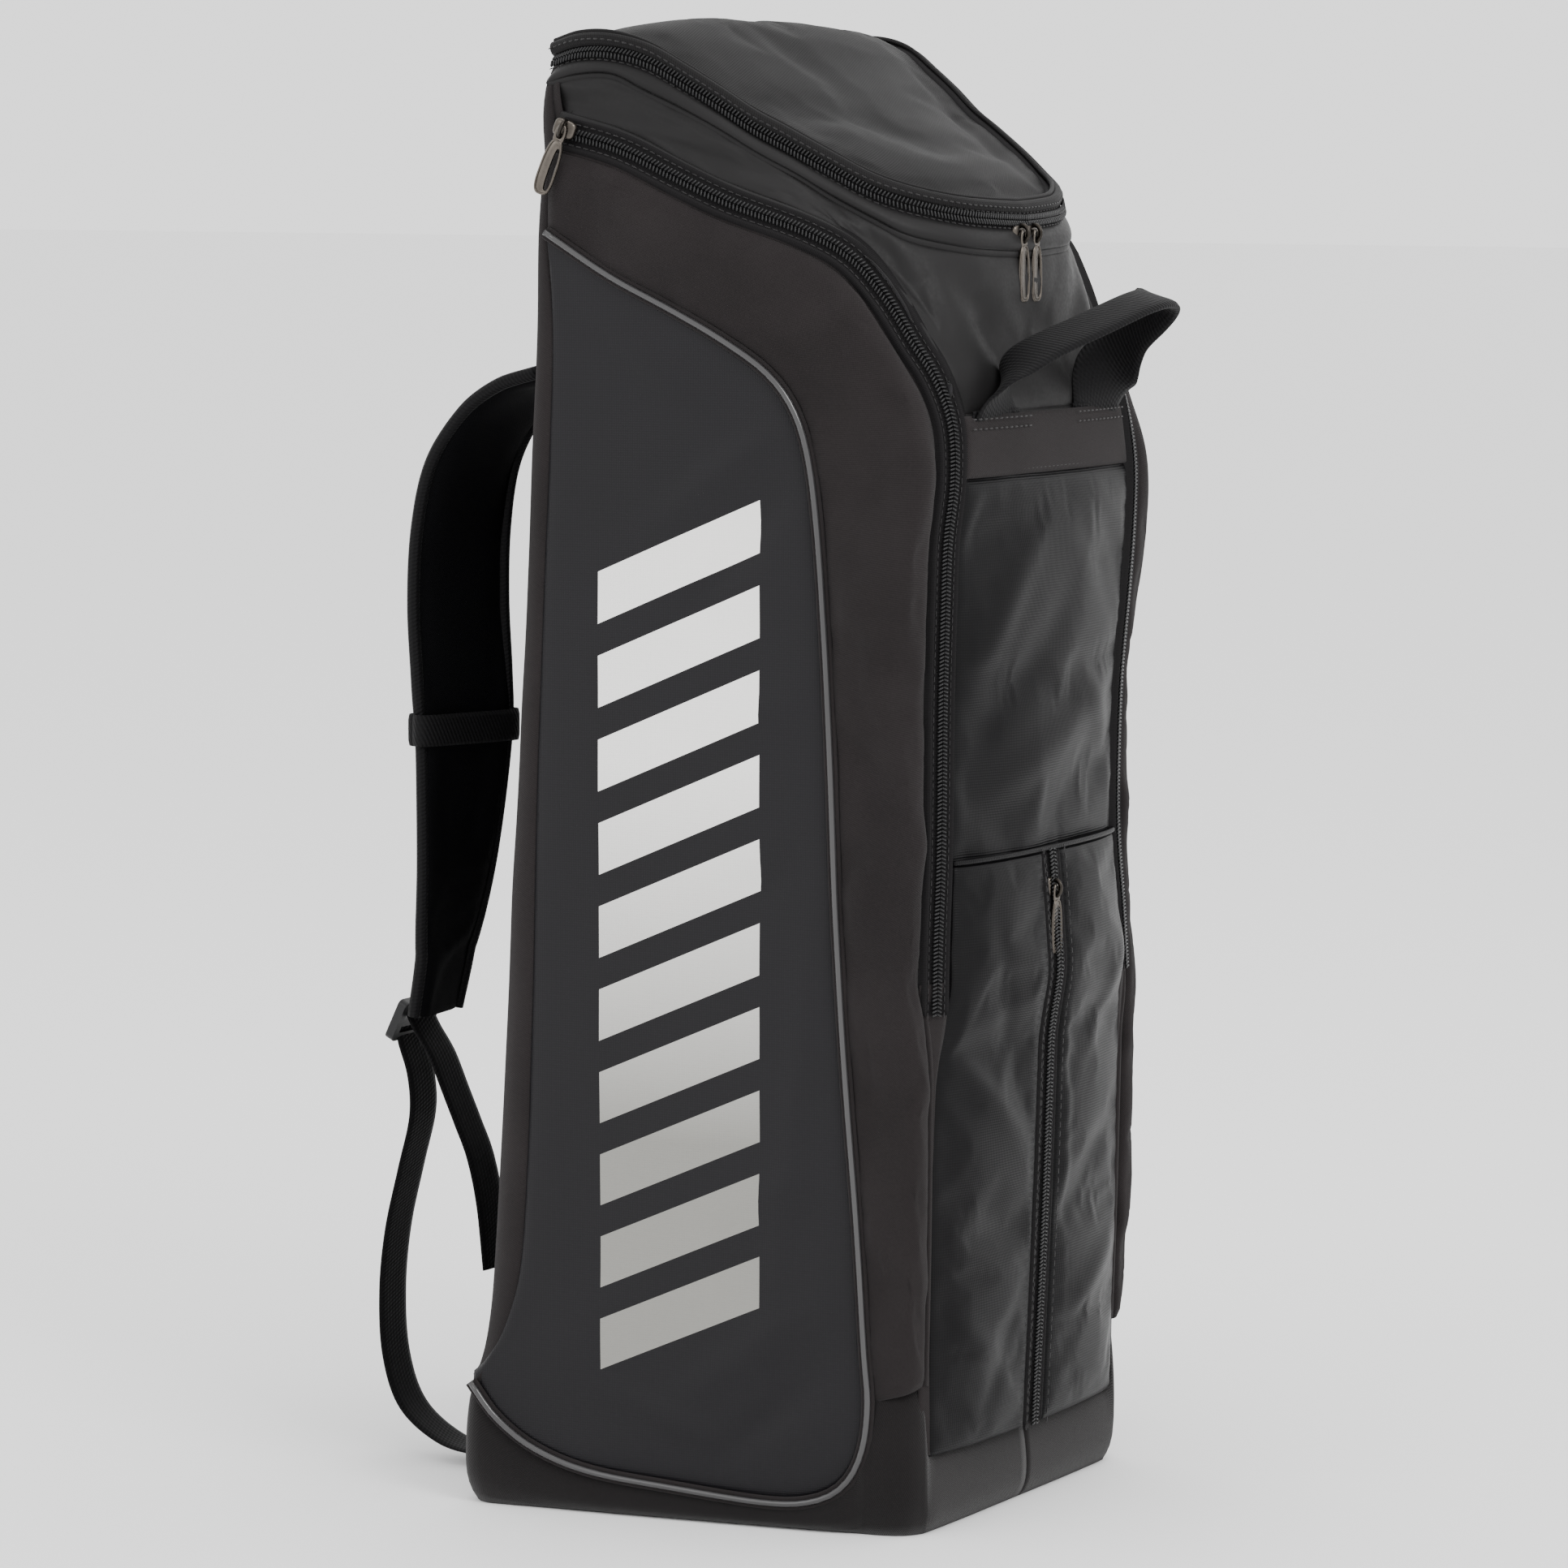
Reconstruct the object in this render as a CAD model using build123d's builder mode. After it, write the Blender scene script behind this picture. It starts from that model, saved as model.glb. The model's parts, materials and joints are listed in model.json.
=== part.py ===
from build123d import *
import os
from math import hypot

# Racket tournament bag: a tall bag that stands on its base, with a zipped lid, a main
# compartment between two dividers, a zipped compartment on each side, a front pocket,
# a haul handle and two shoulder straps.
# Millimetres. X is to the right seen from the front, Y to the back, Z up.
# The origin is the middle of the underside of the base.

os.makedirs("parts", exist_ok=True)

# ---- driving dimensions -------------------------------------------------------------
WALL = 3.0  # fabric with its foam lining
GAP = 0.3  # clearance between neighbouring pieces
HALF = GAP / 2
LOFT_TOP = 800.0  # the tapered body is drawn this high and then cut
REACH = 200.0  # longer than any half width or half depth

SIDE_X = 122.0  # the side walls are upright planes through this point
SIDE_Y = -70.0
SPLAY = 0.225  # and spread this much for each mm towards the back

FLOOR = 3.0
BASE_FRONT = 42.0  # height of the base seam at the front and back
BASE_SIDE = 14.0  # and along the sides
POCKET_TOP = 350.0
BAND_BOTTOM = 546.0
FRONT_TOP = 579.0

FOLD_TOP = (46.0, 711.5)  # the side cover folds from here, as Y and Z
FOLD_BOTTOM = (-125.0, 273.0)  # to the lower end of the side zip
ZIP_LINE = [(74.0, 722.8), (-60.0, 671.0), (-84.0, 658.0), (-129.0, 581.0)]

LID_FRONT = (-116.0, 669.0)  # underside of the lid, as Y and Z
LID_RIDGE = (50.0, 766.0)
LID_BACK = (79.0, 753.0)
LID_THICK = 3.5
LID_HALF_OUTLINE = [(52.0, -109.0), (100.0, -60.0), (143.0, 52.0), (138.0, 79.0)]
FACING = 20.0  # depth of the strip under the lid zip

STRAP_X = 88.0
PAD_WIDTH = 60.0
PAD_THICK = 12.0
WEBBING = 25.0
WEBBING_THICK = 2.0


# ---- shared geometry ----------------------------------------------------------------
def side_x(y):
    """Half width of the bag's side wall at depth y."""
    return SIDE_X + (y - SIDE_Y) * SPLAY


def corners(z):
    """Front corner, front edge, rear edge and back corner of the right wall at height z."""
    t = z / LOFT_TOP
    edge_y = -96 + 44 * t
    rear_y = 110 - 45 * t
    front = (101 - 13 * t, -122 - 7 * t)
    back = (146 - 6 * t, 130 - 54 * t)
    return [front, (side_x(edge_y), edge_y), (side_x(rear_y), rear_y), back]


def both_halves(half):
    """A closed outline from the points of its right half."""
    return half + [(-x, y) for x, y in reversed(half)]


def back_y(z):
    """Outside of the back wall at height z."""
    return corners(z)[3][1]


def front_y(z):
    """Outside of the front wall at height z."""
    return corners(z)[0][1]


def save(builder, name):
    """Labels a finished piece and writes it as its own file."""
    builder.part.label = name
    export_step(builder.part, f"parts/{name}.step")


def save_pair(builder, name):
    """Writes a left piece and its mirror image on the right."""
    save(builder, f"left_{name}")
    with BuildPart() as right:
        add(mirror(builder.part, about=Plane.YZ))
    save(right, f"right_{name}")


# ---- the tapered wall that the fabric panels are cut from ---------------------------
with BuildPart() as wall:
    for level in (0, LOFT_TOP):
        with BuildSketch(Plane.XY.offset(level)):
            Polygon(*both_halves(corners(level)), align=None)
    loft(ruled=True)
    for level in (0, LOFT_TOP):
        with BuildSketch(Plane.XY.offset(level)):
            Polygon(*both_halves(corners(level)), align=None)
            offset(amount=-WALL, kind=Kind.INTERSECTION)
    loft(ruled=True, mode=Mode.SUBTRACT)

# The side compartment's cover folds out about a straight line in the side wall, from near
# the zip's upper end to its lower end.
side_normal = Vector(-1, -SPLAY, 0).normalized()
fold_top = Vector(-side_x(FOLD_TOP[0]), *FOLD_TOP)
fold_bottom = Vector(-side_x(FOLD_BOTTOM[0]), *FOLD_BOTTOM)
fold_normal = (fold_bottom - fold_top).cross(side_normal).normalized()
print("left fold line:", fold_top, "to", fold_bottom)

# ---- base ---------------------------------------------------------------------------
BASE_REGION = [
    (-REACH, 0),
    (REACH, 0),
    (REACH, BASE_FRONT),
    (124, BASE_FRONT),
    (104, BASE_SIDE),
    (-92, BASE_SIDE),
    (-102, BASE_FRONT),
    (-REACH, BASE_FRONT),
]

with BuildPart() as base_panel:
    add(wall.part)
    with BuildSketch(Plane.YZ):
        Polygon(*BASE_REGION, align=None)
    extrude(amount=REACH, both=True, mode=Mode.INTERSECT)
    with BuildSketch(Plane.XY):
        Polygon(*both_halves(corners(0)), align=None)
        offset(amount=-WALL / 2, kind=Kind.INTERSECTION)
    extrude(amount=FLOOR)
save(base_panel, "base_panel")

with BuildPart() as base_board:
    with BuildSketch(Plane.XY.offset(FLOOR + GAP)):
        Polygon(*both_halves(corners(0)), align=None)
        offset(amount=-WALL - 1.5, kind=Kind.INTERSECTION)
        fillet(vertices(), radius=6)
    extrude(amount=3)
save(base_board, "base_board")
BOARD_TOP = FLOOR + GAP + 3

# ---- front wall, handle band and pocket ---------------------------------------------
def front_region(low, high, inset=HALF):
    """Front view outline between two heights, up to the two front corners."""
    top, bottom = corners(high)[0][0] - inset, corners(low)[0][0] - inset
    return [(-bottom, low), (bottom, low), (top, high), (-top, high)]


with BuildPart() as front_panel:
    add(wall.part)
    with BuildSketch(Plane.XZ):
        Polygon(*front_region(BASE_FRONT + GAP, BAND_BOTTOM - HALF), align=None)
    extrude(amount=REACH, mode=Mode.INTERSECT)
save(front_panel, "front_panel")

with BuildPart() as handle_band:
    add(wall.part)
    with BuildSketch(Plane.XZ):
        Polygon(*front_region(BAND_BOTTOM + HALF, FRONT_TOP - HALF), align=None)
    extrude(amount=REACH, mode=Mode.INTERSECT)
save(handle_band, "handle_band")

POCKET_DEPTH = 11.0  # how far the pocket stands in front of the wall
POCKET_SKIN = 2.0
POCKET_SLOT = 5.0  # half width of the opening that the zip closes
POCKET_LOW = 8.0  # the pocket reaches down over the base

with BuildPart() as left_pocket_panel:
    with BuildSketch(Plane.XY.offset(POCKET_LOW)):
        with BuildLine():
            Polyline(
                (-POCKET_SLOT, front_y(0) - POCKET_DEPTH),
                (-POCKET_SLOT, front_y(0) - POCKET_DEPTH + POCKET_SKIN),
                (-78, front_y(0) - POCKET_DEPTH + POCKET_SKIN + 2),
                (-85, front_y(0) - 4),
                (-90, front_y(0) - 4),
                (-82, front_y(0) - POCKET_DEPTH + 1),
                (-POCKET_SLOT, front_y(0) - POCKET_DEPTH),
            )
        make_face()
    extrude(amount=POCKET_TOP - POCKET_LOW)
save_pair(left_pocket_panel, "pocket_panel")

with BuildPart() as pocket_top_seam:
    with BuildSketch(Plane.XY.offset(POCKET_TOP + GAP)):
        with Locations((0, front_y(0) - POCKET_DEPTH / 2 - 2.5)):
            Rectangle(178, POCKET_DEPTH - 5)
    extrude(amount=3)
save(pocket_top_seam, "pocket_top_seam")

POCKET_ZIP_LOW = 50.0
with BuildPart() as pocket_zip:
    with BuildSketch(Plane.XY.offset(POCKET_ZIP_LOW)):
        with Locations((0, front_y(0) - POCKET_DEPTH + 1)):
            Rectangle(2 * POCKET_SLOT - 2 * GAP, 2.4)
    extrude(amount=POCKET_TOP - 8 - POCKET_ZIP_LOW)
save(pocket_zip, "pocket_zip")

# ---- side panels and canvas gussets, cut by the fold line ---------------------------
SIDE_OUTLINE = [(-93, 44), (-74, 17), (70, 21), (107, 48), (72.2, 666), (-62, 588)]


def side_outline_sketch(grow):
    """Side panel's outline in the side view, made larger or smaller by grow."""
    with BuildSketch(Plane.YZ) as outline:
        Polygon(*SIDE_OUTLINE, align=None)
        fillet(outline.vertices().sort_by_distance((-62, 588))[0], radius=60)
        fillet(outline.vertices().sort_by_distance((-93, 44))[0], radius=14)
        offset(amount=grow, kind=Kind.INTERSECTION)
    return outline.sketch


ZIP_EASE = 2.0  # the opening cover stays this far below the side zip

# Everything on the left between the front corner and the rear edge, up to the side zip.
GUSSET_OUTLINE = [(-REACH, BASE_FRONT + GAP), (-101.8, BASE_FRONT + GAP), (-91.8, BASE_SIDE + GAP)]
GUSSET_OUTLINE += [(103.6, BASE_SIDE + GAP), (107.4, 22.5), (107.4, 43), (69.2, 718.6)]
GUSSET_OUTLINE += [(y, z - ZIP_EASE) for y, z in ZIP_LINE[1:]]
GUSSET_OUTLINE += [(-REACH, ZIP_LINE[-1][1] - ZIP_EASE)]


def left_of_front_corner():
    """Front view region to the left of the front corner line."""
    low, high = corners(0)[0][0] + HALF, corners(LOFT_TOP)[0][0] + HALF
    return [(-low, 0), (-high, LOFT_TOP), (-REACH, LOFT_TOP), (-REACH, 0)]


def build_side(covers_flap):
    """The side panel's part on one side of the fold line."""
    shift = -HALF if covers_flap else HALF
    fold = Plane(origin=fold_top + fold_normal * shift, z_dir=fold_normal)
    with BuildPart() as panel:
        add(wall.part)
        extrude(side_outline_sketch(-HALF), amount=-REACH, mode=Mode.INTERSECT)
        split(bisect_by=fold, keep=Keep.BOTTOM if covers_flap else Keep.TOP)
    return panel


def build_gusset(covers_flap):
    """The canvas strip round the side panel, on one side of the fold line."""
    shift = -HALF if covers_flap else HALF
    fold = Plane(origin=fold_top + fold_normal * shift, z_dir=fold_normal)
    with BuildPart() as gusset:
        add(wall.part)
        with BuildSketch(Plane.YZ):
            Polygon(*GUSSET_OUTLINE, align=None)
        extrude(amount=-REACH, mode=Mode.INTERSECT)
        with BuildSketch(Plane.XZ):
            Polygon(*left_of_front_corner(), align=None)
        extrude(amount=REACH, both=True, mode=Mode.INTERSECT)
        extrude(side_outline_sketch(HALF), amount=-REACH, mode=Mode.SUBTRACT)
        split(bisect_by=fold, keep=Keep.BOTTOM if covers_flap else Keep.TOP)
    return gusset


save_pair(build_side(False), "side_panel")
save_pair(build_side(True), "flap_panel")
save_pair(build_gusset(False), "gusset")
save_pair(build_gusset(True), "flap_gusset")

# ---- rear gussets and back wall -----------------------------------------------------
BACK_TOP = 750.0
back_low, back_high = corners(0)[3][0], corners(LOFT_TOP)[3][0]

with BuildPart() as left_rear_gusset:
    add(wall.part)
    with BuildSketch(Plane.YZ):
        Polygon((107.9, 43), (REACH, 43), (REACH, 720), (69.8, 720), align=None)
    extrude(amount=-REACH, mode=Mode.INTERSECT)
    with BuildSketch(Plane.XZ):
        Polygon(
            (-back_low - HALF, 0),
            (-back_high - HALF, LOFT_TOP),
            (-REACH, LOFT_TOP),
            (-REACH, 0),
            align=None,
        )
    extrude(amount=-REACH, mode=Mode.INTERSECT)
save_pair(left_rear_gusset, "rear_gusset")

with BuildPart() as back_panel:
    add(wall.part)
    with BuildSketch(Plane.XZ.offset(-60)) as back_outline:
        Polygon(
            (-back_low + 1, BASE_FRONT + GAP),
            (back_low - 1, BASE_FRONT + GAP),
            (back_high, BACK_TOP),
            (-back_high, BACK_TOP),
            align=None,
        )
        fillet(back_outline.vertices().group_by(Axis.Y)[-1], radius=45)
    extrude(amount=-REACH, mode=Mode.INTERSECT)
save(back_panel, "back_panel")

SHEET_THICK = 2.0
lean = (back_y(0) - back_y(LOFT_TOP)) / LOFT_TOP


def back_plane(z, out):
    """Plane on the back wall at height z, facing backwards, moved outwards by out."""
    return Plane(
        origin=(0, back_y(z) + out, z),
        x_dir=(-1, 0, 0),
        z_dir=(0, 1, lean),
    )


with BuildPart() as back_sheet:
    with BuildSketch(back_plane(380, -WALL - GAP)):
        RectangleRounded(264, 650, 30)
    extrude(amount=-SHEET_THICK)
save(back_sheet, "back_sheet")

with BuildPart() as back_pad:
    with BuildSketch(back_plane(330, GAP)):
        RectangleRounded(110, 440, 30)
    extrude(amount=9)
    outwards = Axis((0, 0, 0), (0, 1, lean))
    fillet(back_pad.faces().sort_by(outwards)[-1].edges(), radius=5)
save(back_pad, "back_pad")

# ---- dividers between the main and the side compartments ----------------------------
DIVIDER_TOP = 690.0
divider_rear = [(back_y(z) - WALL - SHEET_THICK - 4 * GAP, z) for z in (0, DIVIDER_TOP)]

with BuildPart() as left_divider:
    with BuildSketch(Plane.XY.offset(BOARD_TOP + GAP)):
        Polygon((-88, -117), (-90, -117), (-109.5, 125), (-107.5, 125), align=None)
    extrude(amount=LOFT_TOP)
    with BuildSketch(Plane.YZ):
        Polygon((-118, 0), *divider_rear, (66, DIVIDER_TOP), (-118, 575), align=None)
    extrude(amount=-REACH, mode=Mode.INTERSECT)
save_pair(left_divider, "divider")

# ---- collar and lid facing ----------------------------------------------------------
COLLAR_REAR = ZIP_LINE[0]
COLLAR_SLOPE = (COLLAR_REAR[1] - FRONT_TOP) / (COLLAR_REAR[0] - front_y(FRONT_TOP))
LID_SLOPE = (LID_RIDGE[1] - LID_FRONT[1]) / (LID_RIDGE[0] - LID_FRONT[0])


def slanted(point, slope):
    """Plane through a point given as Y and Z, falling towards the front by slope."""
    return Plane(origin=(0, point[0], point[1]), x_dir=(1, 0, 0), z_dir=(0, -slope, 1))


def on_slant(half, point, slope):
    """Plan outline points carried to a slanted plane's own coordinates."""
    stretch = hypot(1, slope)
    return [(x, (y - point[0]) * stretch) for x, y in both_halves(half)]


def corners_on_slant(point, slope):
    """Where the right wall's four corner lines meet a slanted plane, seen from above."""
    met = []
    for (low_x, low_y), (high_x, high_y) in zip(corners(0), corners(LOFT_TOP)):
        t = (point[1] + slope * (low_y - point[0])) / (LOFT_TOP - slope * (high_y - low_y))
        met.append((low_x + t * (high_x - low_x), low_y + t * (high_y - low_y)))
    return met


collar_foot = corners_on_slant(COLLAR_REAR, COLLAR_SLOPE)

with BuildPart() as top_band:
    for inset in (0, WALL):
        for point, slope, half in (
            (COLLAR_REAR, COLLAR_SLOPE, collar_foot),
            (LID_RIDGE, LID_SLOPE, LID_HALF_OUTLINE),
        ):
            with BuildSketch(slanted(point, slope)):
                Polygon(*on_slant(half, point, slope), align=None)
                if inset:
                    offset(amount=-inset, kind=Kind.INTERSECTION)
        loft(ruled=True, mode=Mode.SUBTRACT if inset else Mode.ADD)

facing_drop = FACING * hypot(1, LID_SLOPE)


def lid_line(drop):
    """The lid's underside in the side view, lowered by drop, and run on past the front."""
    past = (LID_FRONT[0] - 60, LID_FRONT[1] - 60 * LID_SLOPE)
    return [(y, z - drop) for y, z in (past, LID_RIDGE, (74, LID_RIDGE[1] - 12))]


COLLAR_OUTLINE = [(y, z + HALF) for y, z in ZIP_LINE + [(-REACH, ZIP_LINE[-1][1])]]

with BuildPart() as collar:
    add(top_band.part)
    with BuildSketch(Plane.YZ):
        Polygon(*COLLAR_OUTLINE, *lid_line(facing_drop + HALF), align=None)
    extrude(amount=REACH, both=True, mode=Mode.INTERSECT)
save(collar, "collar")

with BuildPart() as lid_facing:
    add(top_band.part)
    with BuildSketch(Plane.YZ):
        Polygon(*lid_line(facing_drop - HALF), *reversed(lid_line(GAP)), align=None)
    extrude(amount=REACH, both=True, mode=Mode.INTERSECT)
save(lid_facing, "lid_facing")

# ---- lid ----------------------------------------------------------------------------
RIM = 4.0  # width of the rolled edge round the lid


def lid_section(low, high):
    """Side view outline of a layer of the lid between two heights above its underside."""
    start = (LID_FRONT[0] - 20, LID_FRONT[1] - 20 * LID_SLOPE)
    under = [(y, z + low) for y, z in (start, LID_RIDGE, LID_BACK)]
    over = [(y, z + high) for y, z in (LID_BACK, LID_RIDGE, start)]
    return under + over


with BuildPart() as lid_panel:
    with BuildSketch(Plane.YZ):
        Polygon(*lid_section(HALF, LID_THICK), align=None)
    extrude(amount=REACH, both=True)
    with BuildSketch(Plane.XY):
        Polygon(*both_halves(LID_HALF_OUTLINE), align=None)
    extrude(amount=LOFT_TOP, mode=Mode.INTERSECT)
save(lid_panel, "lid_panel")

with BuildPart() as lid_rim:
    with BuildSketch(Plane.YZ):
        Polygon(*lid_section(HALF, LID_THICK + 1), align=None)
    extrude(amount=REACH, both=True)
    with BuildSketch(Plane.XY):
        Polygon(*both_halves(LID_HALF_OUTLINE), align=None)
        offset(amount=RIM, kind=Kind.INTERSECTION)
    extrude(amount=LOFT_TOP, mode=Mode.INTERSECT)
    with BuildSketch(Plane.XY):
        Polygon(*both_halves(LID_HALF_OUTLINE), align=None)
        offset(amount=GAP, kind=Kind.INTERSECTION)
        with Locations((0, LID_BACK[0])):
            Rectangle(2 * REACH, 12)
    extrude(amount=LOFT_TOP, mode=Mode.SUBTRACT)
save(lid_rim, "lid_rim")

# ---- zip chains and piping, laid on the fabric --------------------------------------
CHAIN = 2.2  # radius of a zip chain
PIPING = 1.6
side_plane = Plane(origin=(-SIDE_X, SIDE_Y, 0), x_dir=(SPLAY, -1, 0), z_dir=side_normal)
side_stretch = hypot(1, SPLAY)


def side_path(points):
    """Side view points, as Y and Z, in the side plane's own coordinates."""
    return [((SIDE_Y - y) * side_stretch, z) for y, z in points]


PIPING_LINE = [(107, 52), (88, 30), (-76, 16), (-93.2, 40), (-62.5, 588), (75, 668)]
PIPING_RADII = [25, 16, 14, 60]
PIPING_PART = 5.0  # the stiff cord stops short of the fold by this much


def build_piping(covers_flap):
    """Piping cord round the side panel, on one side of the fold line."""
    shift = -PIPING_PART if covers_flap else PIPING_PART
    fold = Plane(origin=fold_top + fold_normal * shift, z_dir=fold_normal)
    seat = side_plane.offset(PIPING + HALF)
    with BuildPart() as piping:
        with BuildLine(seat) as path:
            FilletPolyline(*side_path(PIPING_LINE), radius=PIPING_RADII)
        with BuildSketch(Plane(origin=path.line @ 0, z_dir=path.line % 0)):
            Circle(PIPING)
        sweep(path=path.line)
        split(bisect_by=fold, keep=Keep.BOTTOM if covers_flap else Keep.TOP)
    return piping


save_pair(build_piping(False), "piping")
save_pair(build_piping(True), "flap_piping")

chain_out = CHAIN + 1.2
SIDE_CHAIN = [
    (-side_x(68) - chain_out, 68, 721 + chain_out),
    (-side_x(-57) - chain_out, -58, 672.5 + chain_out),
    (-107 - chain_out, -92 - chain_out, 652 + chain_out),
    (-90.6, -127 - chain_out, 585 + chain_out),
    (-93, -126.6 - chain_out, 430),
    (-94.8, -124.7 - chain_out, 292),
]
with BuildPart() as left_side_zip:
    with BuildLine() as path:
        FilletPolyline(*SIDE_CHAIN, radius=[50, 30, 40, 200])
    with BuildSketch(Plane(origin=path.line @ 0, z_dir=path.line % 0)):
        Circle(CHAIN)
    sweep(path=path.line)
save_pair(left_side_zip, "side_zip")

# ---- zip sliders and their pullers --------------------------------------------------
SLIDER_LONG = 12.0
SLIDER_WIDE = 9.0
SLIDER_HIGH = 3.0
BRIDGE_WIDE = 2.6
BRIDGE_HIGH = 4.0
PIVOT_RADIUS = 0.8
PULLER_LONG = 34.0
PULLER_WIDE = 11.0
PULLER_THICK = 1.6


def build_slider(seat, width, length):
    """Slider shell on its seat plane, with a bridge along the plane's Y over the puller's bar."""
    with BuildPart() as slider:
        with BuildSketch(seat):
            RectangleRounded(width, length, 2)
        extrude(amount=SLIDER_HIGH)
        with BuildSketch(seat):
            Rectangle(BRIDGE_WIDE, 8)
        extrude(amount=SLIDER_HIGH + BRIDGE_HIGH)
        with BuildSketch(seat.offset(SLIDER_HIGH)):
            Rectangle(BRIDGE_WIDE, 4.4)
        extrude(amount=BRIDGE_HIGH - 1.2, mode=Mode.SUBTRACT)
    return slider


def puller_bar(seat):
    """Centre of the bar that the puller turns on."""
    return seat.origin + seat.z_dir * (SLIDER_HIGH + 1.5)


def build_puller(seat):
    """Long open ring that hangs along the plane's -Y from a bar under the bridge."""
    face = Plane(origin=puller_bar(seat), x_dir=seat.x_dir, z_dir=seat.z_dir)
    with BuildPart() as puller:
        with BuildSketch(face.offset(-PULLER_THICK / 2)) as ring:
            Polygon(
                (-4, PIVOT_RADIUS),
                (4, PIVOT_RADIUS),
                (PULLER_WIDE / 2, -PULLER_LONG + 5),
                (PULLER_WIDE / 2 - 2, -PULLER_LONG),
                (-PULLER_WIDE / 2 + 2, -PULLER_LONG),
                (-PULLER_WIDE / 2, -PULLER_LONG + 5),
                align=None,
            )
            Polygon(
                (-2, -PIVOT_RADIUS),
                (2, -PIVOT_RADIUS),
                (2, -7),
                (-2, -7),
                align=None,
                mode=Mode.SUBTRACT,
            )
            Polygon(
                (-2, -9.5),
                (2, -9.5),
                (PULLER_WIDE / 2 - 2.4, -PULLER_LONG + 5),
                (PULLER_WIDE / 2 - 3.6, -PULLER_LONG + 2.6),
                (-PULLER_WIDE / 2 + 3.6, -PULLER_LONG + 2.6),
                (-PULLER_WIDE / 2 + 2.4, -PULLER_LONG + 5),
                align=None,
                mode=Mode.SUBTRACT,
            )
        extrude(amount=PULLER_THICK)
        chamfer(puller.faces().sort_by(Axis(seat.origin, seat.z_dir))[-1].edges(), length=0.35)
    return puller


pocket_seat = Plane(
    origin=(0, front_y(0) - POCKET_DEPTH - 0.7, POCKET_TOP - 22),
    x_dir=(1, 0, 0),
    z_dir=(0, -1, 0),
)
LID_SEAT_X = 6.5
lid_seat_y = LID_HALF_OUTLINE[0][1] - RIM
lid_seat_z = LID_FRONT[1] + (lid_seat_y - LID_FRONT[0]) * LID_SLOPE - 2
lid_seat = Plane(
    origin=(-LID_SEAT_X, lid_seat_y - 3, lid_seat_z),
    x_dir=(1, 0, 0),
    z_dir=(0, -1, 0),
)
side_zip_run = (Vector(*SIDE_CHAIN[1]) - Vector(*SIDE_CHAIN[0])).normalized()
side_seat = Plane(
    origin=Vector(*SIDE_CHAIN[0]) + side_zip_run * 5 + side_normal * (CHAIN + 0.5),
    x_dir=side_zip_run,
    z_dir=side_normal,
)

save(build_slider(pocket_seat, SLIDER_WIDE, SLIDER_LONG), "pocket_slider")
save(build_puller(pocket_seat), "pocket_puller")
save_pair(build_slider(lid_seat, 10, 11), "lid_slider")
save_pair(build_puller(lid_seat), "lid_puller")
save_pair(build_slider(side_seat, SLIDER_LONG, SLIDER_WIDE), "side_slider")
save_pair(build_puller(side_seat), "side_puller")
for name, seat in (("pocket", pocket_seat), ("left lid", lid_seat), ("left side", side_seat)):
    print(name, "puller bar:", puller_bar(seat), "along", seat.x_dir)
print("left side slider runs along", side_zip_run)

# ---- haul handle --------------------------------------------------------------------
HANDLE_X = 53.0  # the two sewn feet stand this far from the middle
HANDLE_WIDE = 24.0
HANDLE_THICK = 3.0
HANDLE_REACH = 55.0
HANDLE_PITCH = 1.2  # rise per mm forwards
handle_root = Vector(0, front_y(FRONT_TOP) - 16, FRONT_TOP + 5)
handle_plane = Plane(
    origin=handle_root,
    x_dir=(1, 0, 0),
    z_dir=(0, HANDLE_PITCH, 1),
)

with BuildPart() as haul_handle:
    with BuildSketch(handle_plane):
        with BuildLine() as handle_line:
            FilletPolyline(
                (-HANDLE_X, 0),
                (-HANDLE_X + 6, -HANDLE_REACH),
                (HANDLE_X - 6, -HANDLE_REACH),
                (HANDLE_X, 0),
                radius=38,
            )
        trace(line_width=HANDLE_THICK)
    extrude(amount=HANDLE_WIDE / 2, both=True)
save(haul_handle, "haul_handle")
print("handle root:", handle_root)

with BuildPart() as left_handle_foot:
    with BuildSketch(Plane.XZ.offset(-front_y(FRONT_TOP) + GAP)):
        with Locations((-HANDLE_X, 566)):
            Rectangle(50, 34)
    extrude(amount=2)
save_pair(left_handle_foot, "handle_foot")

# ---- shoulder straps ----------------------------------------------------------------
PAD_LINE = [(112, 592), (150, 576), (176, 540), (181, 470), (177, 410), (196, 248)]
PAD_RADII = [40, 45, 160, 160]
LOWER_LINE = [(210, 226), (203, 190), (224, 130), (229, 80), (216, 24), (175, 6), (140, 8)]
LOWER_RADII = [30, 60, 60, 34, 40]
TAIL_LINE = [(190, 222), (176, 190), (163, 160), (158, 110)]
TAIL_RADII = [50, 50]


def strap_ribbon(points, radii, thick, width):
    """Flat band that follows a side view line, centred on the left strap."""
    with BuildPart() as ribbon:
        with BuildSketch(Plane.YZ.offset(-STRAP_X)):
            with BuildLine():
                FilletPolyline(*points, radius=radii)
            trace(line_width=thick)
        extrude(amount=width / 2, both=True)
    return ribbon


save_pair(strap_ribbon(PAD_LINE, PAD_RADII, PAD_THICK, PAD_WIDTH), "shoulder_pad")
save_pair(strap_ribbon(LOWER_LINE, LOWER_RADII, WEBBING_THICK, WEBBING), "lower_webbing")
save_pair(strap_ribbon(TAIL_LINE, TAIL_RADII, WEBBING_THICK, WEBBING), "webbing_tail")

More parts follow.
